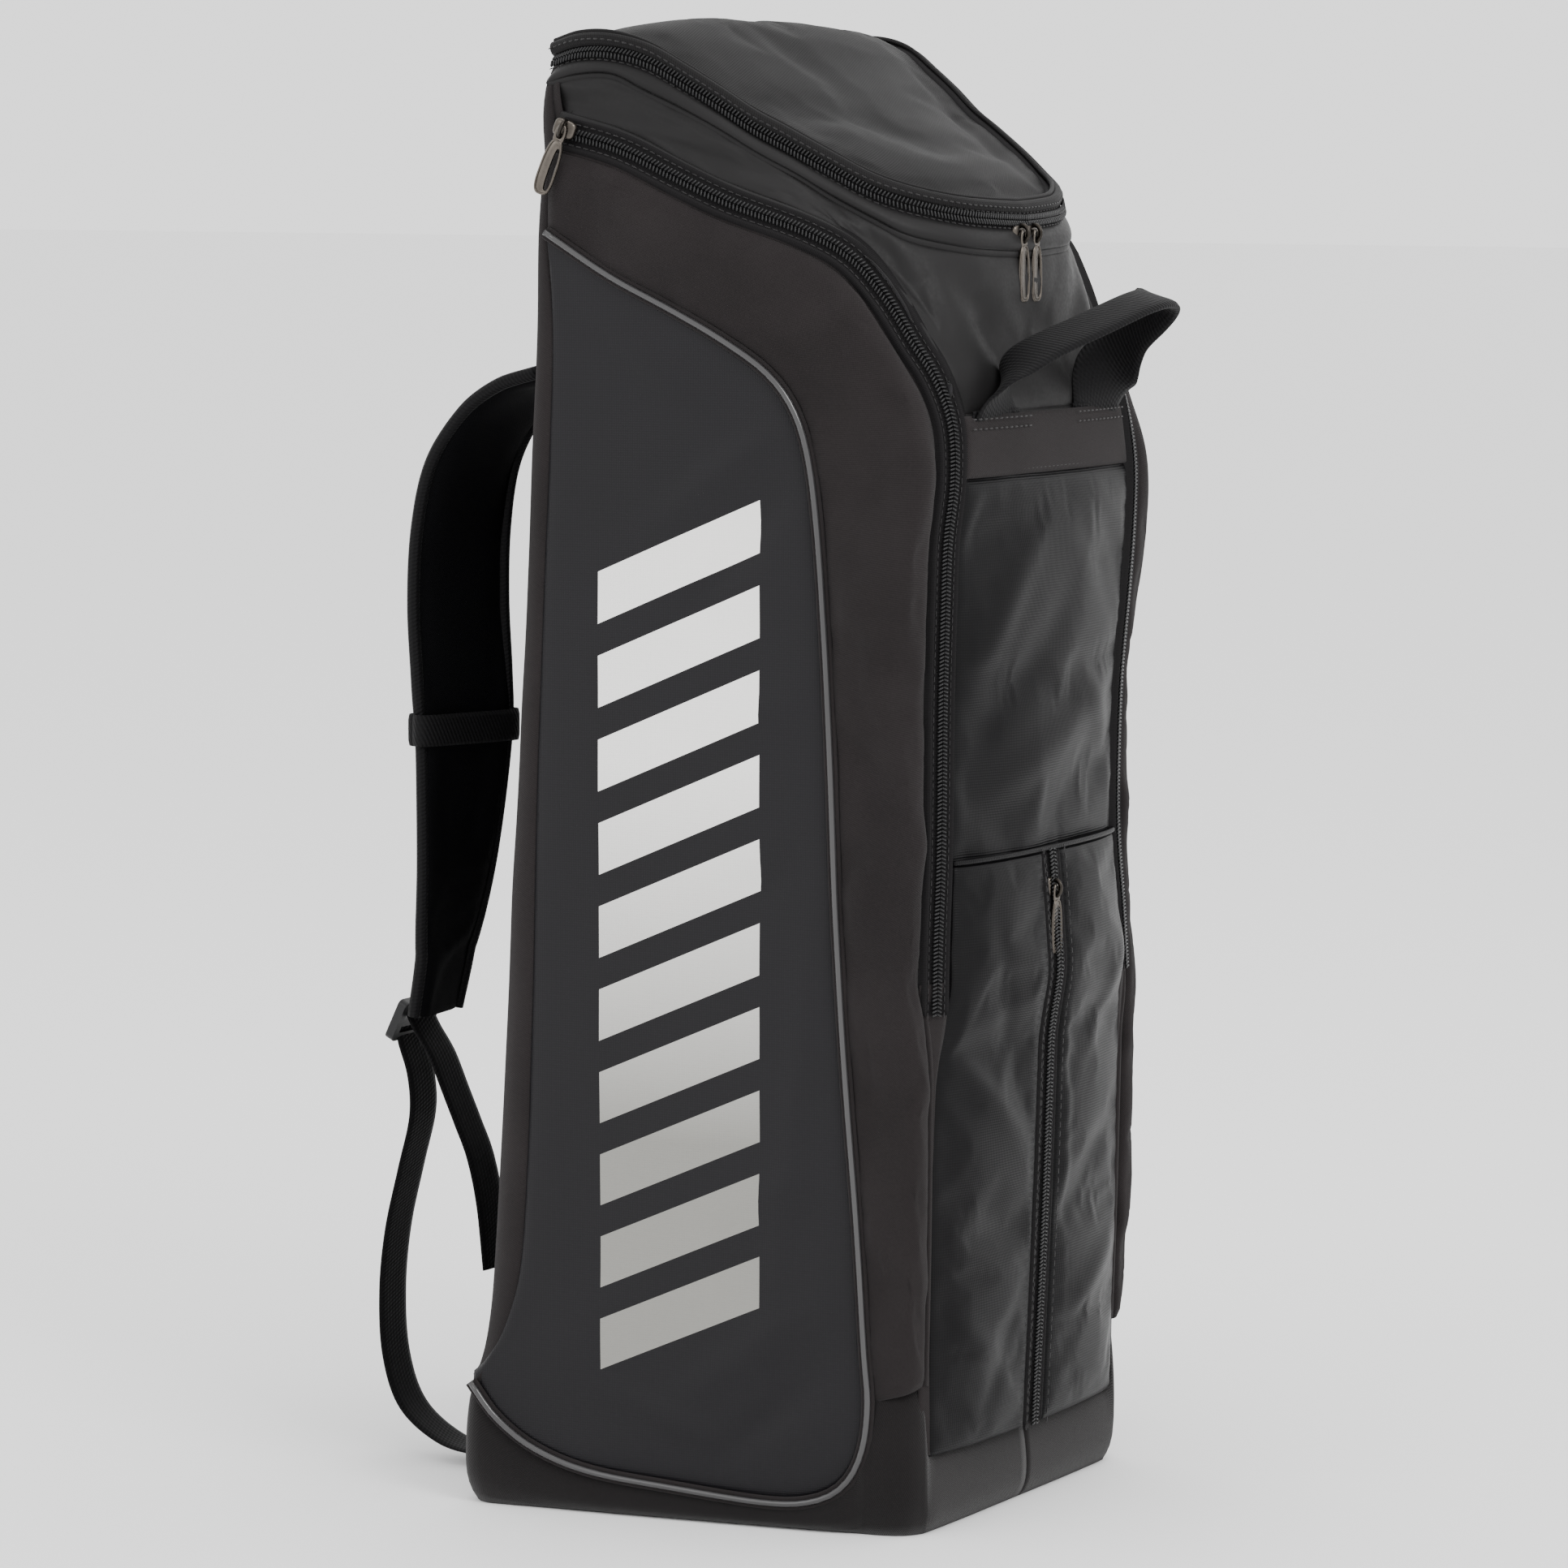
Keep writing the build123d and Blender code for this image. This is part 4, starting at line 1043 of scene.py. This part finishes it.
def build_lid():
    """Lid panel with a crowned ridge, its hinge strip, and the rolled rim over its zip."""
    rear_line = lid_rear_line(61)
    g = settle(lid_surface(rear_line, 78), pressure=0.4, grow=0.005, cap=3, seed=53)
    g = folds(g, [
        ((110, 30, 765), (60, -80, 700), 9, -3.0),
        ((-110, 40, 768), (-20, 46, 776), 14, 1.6),
        ((-90, -10, 735), (10, -60, 710), 16, -2.4),
        ((-40, -80, 695), (50, -70, 702), 12, 1.6),
    ])
    with_lid(fabric("lid_cloth", g, LID, 2.4, seam=2.0, lining=LINING), "lid_fabric", "lid_panel")
    top = back_edge[-26:] + (0, 0.6, -4)
    low = read_at(np.concatenate([top, mirror_x(top)[::-1]]), np.linspace(0, 1, len(rear_line)))
    hinge = towards(ruled(low, rear_line - (0, 0, 0.8), 9), (0, 0.4, 1))
    with_lid(fabric("lid_hinge_cloth", hinge, CANVAS, 2.0, seam=0.4), "lid_fabric")
    line, away = across_bag(lid_line), across_bag(lid_away)
    roll = tube("lid_rim_roll", line + away * 2.0 + (0, 1.6, 6.4), 4.0, LID, sides=14, flat=0.8, normal=away)
    with_lid(roll, "lid_fabric", "lid_rim")
    with_lid(tube("lid_rim_core", line - away * 2.4 + (0, 1.2, 4.6), 4.2, TAPE), "lid_fabric")
    with_lid(tube("lid_rim_piping", line + away * 0.4 + (0, 2.4, 10.6), 1.5, LID, sides=8), "lid_fabric")
    at = np.linspace(0, 1, 150)
    p = read_at(line + away * 5.2 + (0, 1.4, 6.8), at)
    with_lid(stitches("lid_rim_stitches", p, unit(read_at(away, at)), (2.8, 0.75, 0.6)), "lid_fabric")


# ---- rear gussets, back and base ------------------------------------------------------------
def build_rear(side):
    """Canvas strip round the rear corner of one side."""
    name = side_name(side)
    g = np.swapaxes(ruled(rear_edge, back_edge, 18), 0, 1)
    g = towards(g, (-1, 0.6, 0))
    n = grid_normals(g)
    across = np.sin(pi * np.linspace(0, 1, 18))[None]
    g = g + n * (4.5 * across)[..., None]
    inside = across * np.sin(pi * np.linspace(0, 1, REAR_POINTS))[:, None]
    g = g + n * (1.3 * wrinkle(g, 60, 61) * inside)[..., None]
    strip = fabric(f"{name}_rear_cloth", on(side, g), CANVAS, 2.0, seam=1.8, seam_reach=2.5, lining=LINING)
    settle_on(strip, "bag", "canvas", f"{name}_rear_gusset")


def back_y(z):
    """Y of the back wall, which leans forwards as it rises."""
    return 130 - 0.0675 * z


def on_back(name, x, z, proud, thick, seam, material):
    """A fabric piece on the back wall, standing proud of it."""
    g = np.stack([x + 0 * z, back_y(z) + proud, z + 0 * x], -1)
    return fabric(name, towards(g, (0, 1, 0)), material, thick, seam=seam)


def build_back():
    """Back wall with its pad, the strap yoke and the strap anchors."""
    g = towards(np.swapaxes(ruled(back_edge, mirror_x(back_edge), 64), 0, 1), (0, 1, 0))
    g = settle(g, pressure=0.6, grow=0.01, cap=5, seed=71)
    wall = fabric("back_cloth", g, BACK, 2.4, seam=2.0, lining=LINING)
    settle_on(wall, "bag", "back_fabric", "back_panel")

    u, v = np.linspace(-1, 1, 90)[:, None], np.linspace(-1, 1, 30)[None]
    x = 55 * v * np.sqrt(1 - 0.10 * u**12)
    z = 330 + 218 * u * np.sqrt(1 - 0.012 * v**6)
    crown = 10.5 * (1 - u**16) ** 0.5 * (1 - v**6) ** 0.5
    channel = 1 - 0.32 * np.exp(-((np.mod(u * 3.5 + 0.5, 1) - 0.5) / 0.07) ** 2)
    pad = on_back("back_pad_cloth", x, z, 3.4 + crown * channel, 2.0, 0.5, BACK)
    settle_on(pad, "bag", "back_fabric", "back_pad")

    x, z = np.meshgrid(np.linspace(-124, 124, 70), np.linspace(567, 617, 14))
    puffed = 4.2 * (1 - np.abs(x / 125) ** 10) ** 0.5 * (1 - np.abs((z - 592) / 26) ** 6) ** 0.5
    yoke = on_back("strap_yoke_cloth", x, z, 2.6 + puffed, 2.0, 0.8, CANVAS)
    settle_on(yoke, "bag", "canvas", "strap_yoke")

    for side in (-1, 1):
        x, z = np.meshgrid(np.linspace(-1, 1, 16), np.linspace(12, 42, 12))
        half = 25 - 11 * (1 - (z - 12) / 30)
        proud = 2.4 + 1.4 * (1 - x**4)
        name = side_name(side)
        anchor = on_back(f"{name}_anchor_cloth", side * STRAP_X + x * half, z, proud, 1.8, 0.6, CANVAS)
        settle_on(anchor, "bag", "webbing", f"{name}_strap_anchor")


# Upper edge of the base's wall, from the middle of the front round to the middle of the back.
BASE_TOP = [
    (0, -119.5, 42), (-50, -119.5, 41), (-84, -119, 41.5), (-96.5, -118.4, 44), (-101, -117.5, 76),
    (-109, -112, 77), (-114.5, -101, 75), (-116.5, -92, 68), (-118, -86, 38), (-121.5, -73, 20),
    (-127.5, -45, 13), (-140.5, 12, 15), (-150.5, 56, 20), (-157, 86, 31), (-162, 107, 48),
    (-163.5, 119, 66), (-158, 127, 58), (-143, 130, 44), (-80, 130.5, 43), (0, 130.5, 43),
]
BASE_CENTRE = np.array([0, 5.0])
GROUND = 0.3


def build_base():
    """Canvas base, in canvas darkened as painted shade: its walls round the bag's foot and its flat
    underside.
    """
    left = smooth(BASE_TOP, HALF_POINTS)
    left[[0, -1], 0] = 0
    loop = np.concatenate([left, mirror_x(left[1:-1])[::-1], left[:1]])
    s = np.linspace(0, 1, 13)[None]
    inset = 1 - 0.022 * (1 - np.clip(s * 3.2, 0, 1)) ** 2
    from_centre = loop[:, :2] - BASE_CENTRE
    xy = BASE_CENTRE + from_centre[:, None] * inset[..., None]
    g = np.concatenate([xy, np.maximum(loop[:, None, 2] * s, GROUND)[..., None]], -1)
    out = np.concatenate([unit(from_centre), np.zeros((len(loop), 1))], 1)
    g = g + out[:, None] * (2.6 * np.sin(pi * s**0.8))[..., None]
    g = g[::-1] if (grid_normals(g)[5, 6] @ np.array(FRONT)) < 0 else g
    walls = fabric("base_cloth", g, PAINTED_SHADE_CANVAS, 2.2, seam=1.2, lining=LINING, seams=("right",))
    settle_on(walls, "bag", "canvas", "base_panel")
    foot = g[:, 0, :2] - BASE_CENTRE
    rings = [BASE_CENTRE + foot * k for k in np.linspace(1, 0.02, 20)]
    floor = np.stack([np.pad(ring, ((0, 0), (0, 1)), constant_values=GROUND) for ring in rings], 1)
    underside = fabric("base_underside", towards(floor, (0, 0, -1)), PAINTED_SHADE_CANVAS, 2.0, seam=0)
    settle_on(underside, "bag", "canvas")


# ---- haul handle and its feet -----------------------------------------------------------------
def build_handle():
    """Webbing handle that rises from behind the band, folds double and twists over the top."""
    path = smooth([(-52, -129.5, 570), (-52, -132.5, 586), (-50, -138, 600), (-38, -149, 611),
                   (-10, -164, 623), (22, -173, 633), (46, -171, 634), (57, -160, 626), (58, -146, 611),
                   (55, -134, 592), (53, -129.5, 570)], 120)
    s = np.linspace(0, 1, len(path))
    grip = ease(np.clip(np.minimum(s, 1 - s) / 0.24, 0, 1))  # 0 at the sewn feet, 1 where it is folded
    flat_way = np.where(s < 0.5, 1.0, -1.0)[:, None] * np.array([1.0, 0, 0])
    across = (1 - grip)[:, None] * flat_way + grip[:, None] * np.array([0.15, 0.88, 0.22])
    handle = ribbon("haul_handle_webbing", path, across, 46 - 20 * grip, 2.4 + 2.6 * grip, WEBBING, rows=13)
    bend_between(handle, "bag", "haul_handle", (0, -134, 580), (0, -142, 590), "webbing", "haul_handle")
    for side, x in ((-1, -52), (1, 53)):
        line = smooth([(x, -128.2, 556), (x, -129.2, 568), (x, -130.6, 580)], 20)
        foot = ribbon(f"{side_name(side)}_foot_webbing", line, (1, 0, 0), 48, 2.0, WEBBING, rows=9)
        settle_on(foot, "bag", "webbing", f"{side_name(side)}_handle_foot")


# ---- shoulder straps ----------------------------------------------------------------------------
# Centre lines of a strap in the side view, as Y and Z, from its upper end down.
PAD_ROUTE = [(110, 596), (132, 588), (152, 572), (170, 545), (178, 510), (180, 470), (178, 430),
             (177, 395), (182, 330), (190, 280), (197, 247)]
LOWER_ROUTE = [(214.5, 241), (213, 230), (207, 212), (206, 190), (214, 160), (223, 125), (227, 90),
               (225, 55), (214, 28), (190, 12), (165, 8), (140, 10)]
TAIL_ROUTE = [(208.5, 248), (203, 238), (193, 224), (184, 205), (176, 188), (168, 170), (162, 145),
              (158, 110)]
LUG_ROUTE = [(194, 262), (201, 255), (207, 250)]
PAD_POINTS = 110
KEEPER_AT = 64  # point of the pad's centre line where the elastic keeper sits


def strap_path(side, route, count):
    """One strap's centre line from side view points."""
    return smooth([(side * STRAP_X, y, z) for y, z in route], count)


def puff(piece):
    """Cloth pressure inside a closed pad, with its movement capped, kept in the mesh."""
    before = np.empty(len(piece.data.vertices) * 3)
    piece.data.vertices.foreach_get("co", before)
    before = before.reshape(-1, 3)
    moved = simulate(piece, 12, 3.0, quality=5, tension_stiffness=30, compression_stiffness=20,
                     bending_stiffness=1.0) - before
    piece.modifiers.clear()
    moved -= moved.mean(0)
    size = np.linalg.norm(moved, axis=1, keepdims=True)
    moved *= np.minimum(1, 2.5 * MM / np.maximum(size, 1e-9))
    piece.data.vertices.foreach_set("co", (before + moved).ravel())
    piece.data.update()


def squared(turn, power):
    """Sine of the turn, squared off towards a rounded rectangle."""
    return np.sign(np.sin(turn)) * np.abs(np.sin(turn)) ** power


def build_strap(side):
    """Padded strap with its binding, elastic keeper, and the webbing below the ladder lock."""
    name = side_name(side)
    body = f"{name}_strap"
    path = strap_path(side, PAD_ROUTE, PAD_POINTS)
    s = np.linspace(0, 1, PAD_POINTS)
    twist = radians(22) * np.sin(pi * np.clip(s * 1.1, 0, 1)) ** 0.7
    across = np.stack([side * np.cos(twist), np.sin(twist), np.zeros(PAD_POINTS)], 1)
    width = np.interp(s, [0, 0.12, 0.55, 0.86, 1], [54, 60, 60, 50, 43])
    pad = ribbon(f"{name}_pad", path, across, width - 3, 11.0, PAD, rows=21, edge=1.6)
    puff(pad)
    settle_on(pad, body, "strap_pad", f"{name}_shoulder_pad")
    tangent = unit(np.gradient(path, axis=0))
    wide = unit(across - tangent * (across * tangent).sum(1, keepdims=True))
    face = np.cross(tangent, wide)
    for tag, way in (("outer", 1), ("inner", -1)):
        edge = path + wide * (width / 2 - 1.2)[:, None] * way
        trim = tube(f"{name}_pad_binding_{tag}", edge, 3.3, WEBBING, flat=1.1, normal=face)
        settle_on(trim, body, "strap_pad")
    turn = np.linspace(0, 2 * pi, 40)[:, None]
    loop = (path[KEEPER_AT] + wide[KEEPER_AT] * squared(turn + pi / 2, 0.4) * 33
            + face[KEEPER_AT] * squared(turn, 0.5) * 8.2)
    keeper = ribbon(f"{name}_keeper_band", loop, tangent[KEEPER_AT], 17, 1.6, WEBBING)
    settle_on(keeper, body, "webbing", f"{name}_strap_keeper")
    for tag, route, count, wide, thick, nodes in (
        ("lower_strap", LOWER_ROUTE, 120, 25, 1.9, [f"{name}_lower_webbing"]),
        ("strap_tail", TAIL_ROUTE, 60, 25, 1.8, [f"{name}_webbing_tail"]),
        ("lock_loop", LUG_ROUTE, 14, 27, 4.5, []),
    ):
        path = strap_path(side, route, count)
        piece = ribbon(f"{name}_{tag}", path, (1, 0, 0), wide, thick, WEBBING, rows=9)
        settle_on(piece, body, "webbing", *nodes)


# ---- sliders and pullers ---------------------------------------------------------------------
def local_frame(joint_name, normal):
    """Origin and axes of a puller's bar, from its hinge."""
    joint = [j for j in frame["joints"] if j["name"] == joint_name][0]
    x = -unit(np.array(joint["axis"], float))
    z = unit(np.array(normal, float))
    return np.array(joint["pos_m"]) / MM, x, np.cross(z, x), z


def placed(points, at):
    """Local points, as across, along and out, put in a frame."""
    p = np.asarray(points, float)
    return at[0] + p[..., :1] * at[1] + p[..., 1:2] * at[2] + p[..., 2:3] * at[3]


def slider(name, at, width, length):
    """Domed slider with rounded shoulders and a bridge that holds the puller's bar."""
    v, u = np.linspace(-1, 1, 19)[:, None], np.linspace(-1, 1, 17)[None]
    taper = 1 - 0.22 * np.clip(-v, 0, 1) ** 2 if length >= width else np.ones_like(v)
    x = u * np.sqrt(1 - 0.42 * v**4) * taper * width / 2
    y = v * np.sqrt(1 - 0.30 * u**4) * length / 2
    dome = 3.3 * (1 - np.abs(u) ** 3.5) ** 0.45 * (1 - np.abs(v) ** 5) ** 0.45
    g = placed(np.stack([x, y, -4.6 + dome], -1), at)
    shell = fabric(f"{name}_shell", towards(g, at[3]), METAL, 1.4, seam=0)
    rising = [(0, 4.2, -2.2), (0, 3.9, 0.6), (0, 2.2, 2.3)]
    arc = rising + [(0, 0, 2.8)] + [(0, -y, z) for _, y, z in rising[::-1]]
    bridge = tube(f"{name}_bridge", placed(smooth(arc, 30), at), 1.25, METAL, flat=0.8, normal=at[1])
    bridge.parent = shell
    return shell


RING_POINTS = 56


def rounded_loop(half, top, bottom):
    """Closed outline of a long ring: narrow at the top, full and round at the bottom."""
    a = np.linspace(0, 2 * pi, RING_POINTS, endpoint=False)
    swell = 1 - 0.26 * np.clip((np.cos(a) + 1) / 2, 0, 1) ** 1.2
    y = np.sign(np.cos(a)) * np.abs(np.cos(a)) ** 0.72
    return np.stack([squared(a, 0.62) * half * swell, (top + bottom) / 2 + y * (top - bottom) / 2], 1)


def plate_with_hole(name, outer, inner, thick, at, bevel=0.45):
    """Flat plate between two outlines, with rounded edges."""
    def grown(loop, by):
        away = loop - loop.mean(0)
        return loop + unit(away) * by
    side = thick / 2 - bevel
    outer_top, inner_top = grown(outer, -bevel), grown(inner, bevel)
    rings = [(outer_top, thick / 2), (outer, side), (outer, -side), (outer_top, -thick / 2),
             (inner_top, -thick / 2), (inner, -side), (inner, side), (inner_top, thick / 2)]
    points = np.concatenate([np.pad(ring, ((0, 0), (0, 1)), constant_values=z) for ring, z in rings])
    index = np.arange(len(points)).reshape(len(rings), len(outer))
    beside = np.roll(index, -1, axis=1)
    below, beside_below = np.roll(index, -1, axis=0), np.roll(beside, -1, axis=0)
    faces = np.stack([index, beside, beside_below, below], -1).reshape(-1, 4)
    return new_mesh(name, placed(points, at), faces.tolist(), points[:, :2], METAL)


def puller(name, at):
    """Long ring puller: a solid half, an open half and a small eye round the bar."""
    hole = rounded_loop(1.75, -10.5, -32.6) + (2.05, 0)
    ring = plate_with_hole(f"{name}_ring", rounded_loop(5.6, -5.5, -35.5), hole, 1.9, at)
    eye = plate_with_hole(f"{name}_eye", rounded_loop(3.4, 2.2, -8.0), rounded_loop(1.5, 0.9, -5.0), 1.7, at)
    rim = np.pad(rounded_loop(4.9, -6.5, -34.8), ((0, 1), (0, 1)), mode="wrap")
    rim[:, 2] = 0.95
    edge = tube(f"{name}_edge", placed(rim, at), 0.45, METAL, sides=8, closed_ends=False)
    eye.parent = edge.parent = ring
    return ring


def build_hardware():
    """Zip sliders and pullers."""
    places = [("pocket", FRONT, 9.0, 13.0)]
    for side in (-1, 1):
        places.append((f"{side_name(side)}_lid", FRONT, 12.0, 10.0))
        places.append((f"{side_name(side)}_side", (side, -SPLAY, 0), 13.0, 10.0))
    for name, normal, width, length in places:
        at = local_frame(f"{name}_puller_hinge", normal)
        settle_on(slider(f"{name}_zip", at, width, length), f"{name}_slider", "zip_metal", f"{name}_slider")
        settle_on(puller(f"{name}_pull", at), f"{name}_puller", "zip_metal", f"{name}_puller")


# ---- inside ---------------------------------------------------------------------------------
def build_inside():
    """Dividers with a bound top edge, the stiff sheets and the plastic locks."""
    y = np.linspace(-115, 72, 60)
    high = np.stack([-89 - (y + 115) * 0.0823, y, np.interp(y, [-118, 66, 80], [577, 688, 689])], 1)
    low = np.linspace((-89, -115, 8.0), (-108.5, 122, 8.0), 60)
    g = np.swapaxes(ruled(low, high, 60), 0, 1)
    g[..., 0] += 2.0 * wrinkle(g, 70, 5)
    g = towards(g, (-1, 0, 0))
    for side in (-1, 1):
        name = side_name(side)
        divider = fabric(f"{name}_divider_cloth", on(side, g), LINING, 2.4, seam=0.4)
        settle_on(divider, "bag", "lining", f"{name}_divider")
        edge = on_path(side, high + (0, 0, 0.5))
        settle_on(tube(f"{name}_divider_binding", edge, 2.4, WEBBING, sides=8), "bag", "lining")
    for node, material in (("base_board", BOARD), ("back_sheet", BOARD), ("left_ladder_lock", PLASTIC),
                           ("right_ladder_lock", PLASTIC)):
        mesh = frame["nodes"][node].data
        mesh.materials.clear()
        mesh.materials.append(material)


# ---- assembly -------------------------------------------------------------------------------
for side in (-1, 1):
    build_side(side)
    build_side_zip(side)
    build_rear(side)
    build_seams(side)
    build_strap(side)
build_front()
build_pocket()
build_band()
build_collar()
build_facing()
build_lid()
build_back()
build_base()
build_handle()
build_hardware()
build_inside()


# ---- floor, light and camera ------------------------------------------------------------------
def looking_at(place, target):
    """Rotation that turns a light or camera from its place towards a target."""
    return (Vector(target) - Vector(place)).to_track_quat("-Z", "Y").to_euler()


def build_stage():
    """Pale floor, an even white surround and three soft lights."""
    size = 30.0
    mesh = bpy.data.meshes.new("floor")
    corners = [(-size, -size, 0), (size, -size, 0), (size, size, 0), (-size, size, 0)]
    mesh.from_pydata(corners, [], [(0, 1, 2, 3)])
    floor = bpy.data.objects.new("floor", mesh)
    bpy.context.scene.collection.objects.link(floor)
    material, _, shader = new_material("floor_paper")
    shader.inputs["Base Color"].default_value = (0.92, 0.92, 0.92, 1)
    shader.inputs["Roughness"].default_value = 0.9
    mesh.materials.append(material)
    world = bpy.data.worlds.new("studio")
    world.use_nodes = True
    surround = world.node_tree.nodes["Background"]
    surround.inputs["Color"].default_value = (1, 1, 1, 1)
    surround.inputs["Strength"].default_value = 1.7
    bpy.context.scene.world = world
    for name, place, power, width in (
        ("key", (-1.0, -2.6, 2.4), 48, 1.1),
        ("fill", (-2.8, 0.8, 1.8), 14, 1.4),
        ("top", (0.4, -0.2, 3.0), 16, 1.4),
    ):
        light = bpy.data.lights.new(name, "AREA")
        light.energy = power
        light.size = width
        lamp = bpy.data.objects.new(name, light)
        lamp.location = place
        lamp.rotation_euler = looking_at(place, (0, 0, 0.4))
        bpy.context.scene.collection.objects.link(lamp)


def build_camera():
    """Camera at the height of the lid, looking at the front left corner."""
    camera = bpy.data.cameras.new("camera")
    camera.lens = 130.6
    camera.sensor_width = 36
    view = bpy.data.objects.new("camera", camera)
    view.location = (-2.587, -1.566, 0.722)
    view.rotation_euler = looking_at(view.location, (-0.018, 0.018, 0.375))
    bpy.context.scene.collection.objects.link(view)
    bpy.context.scene.camera = view


build_stage()
build_camera()
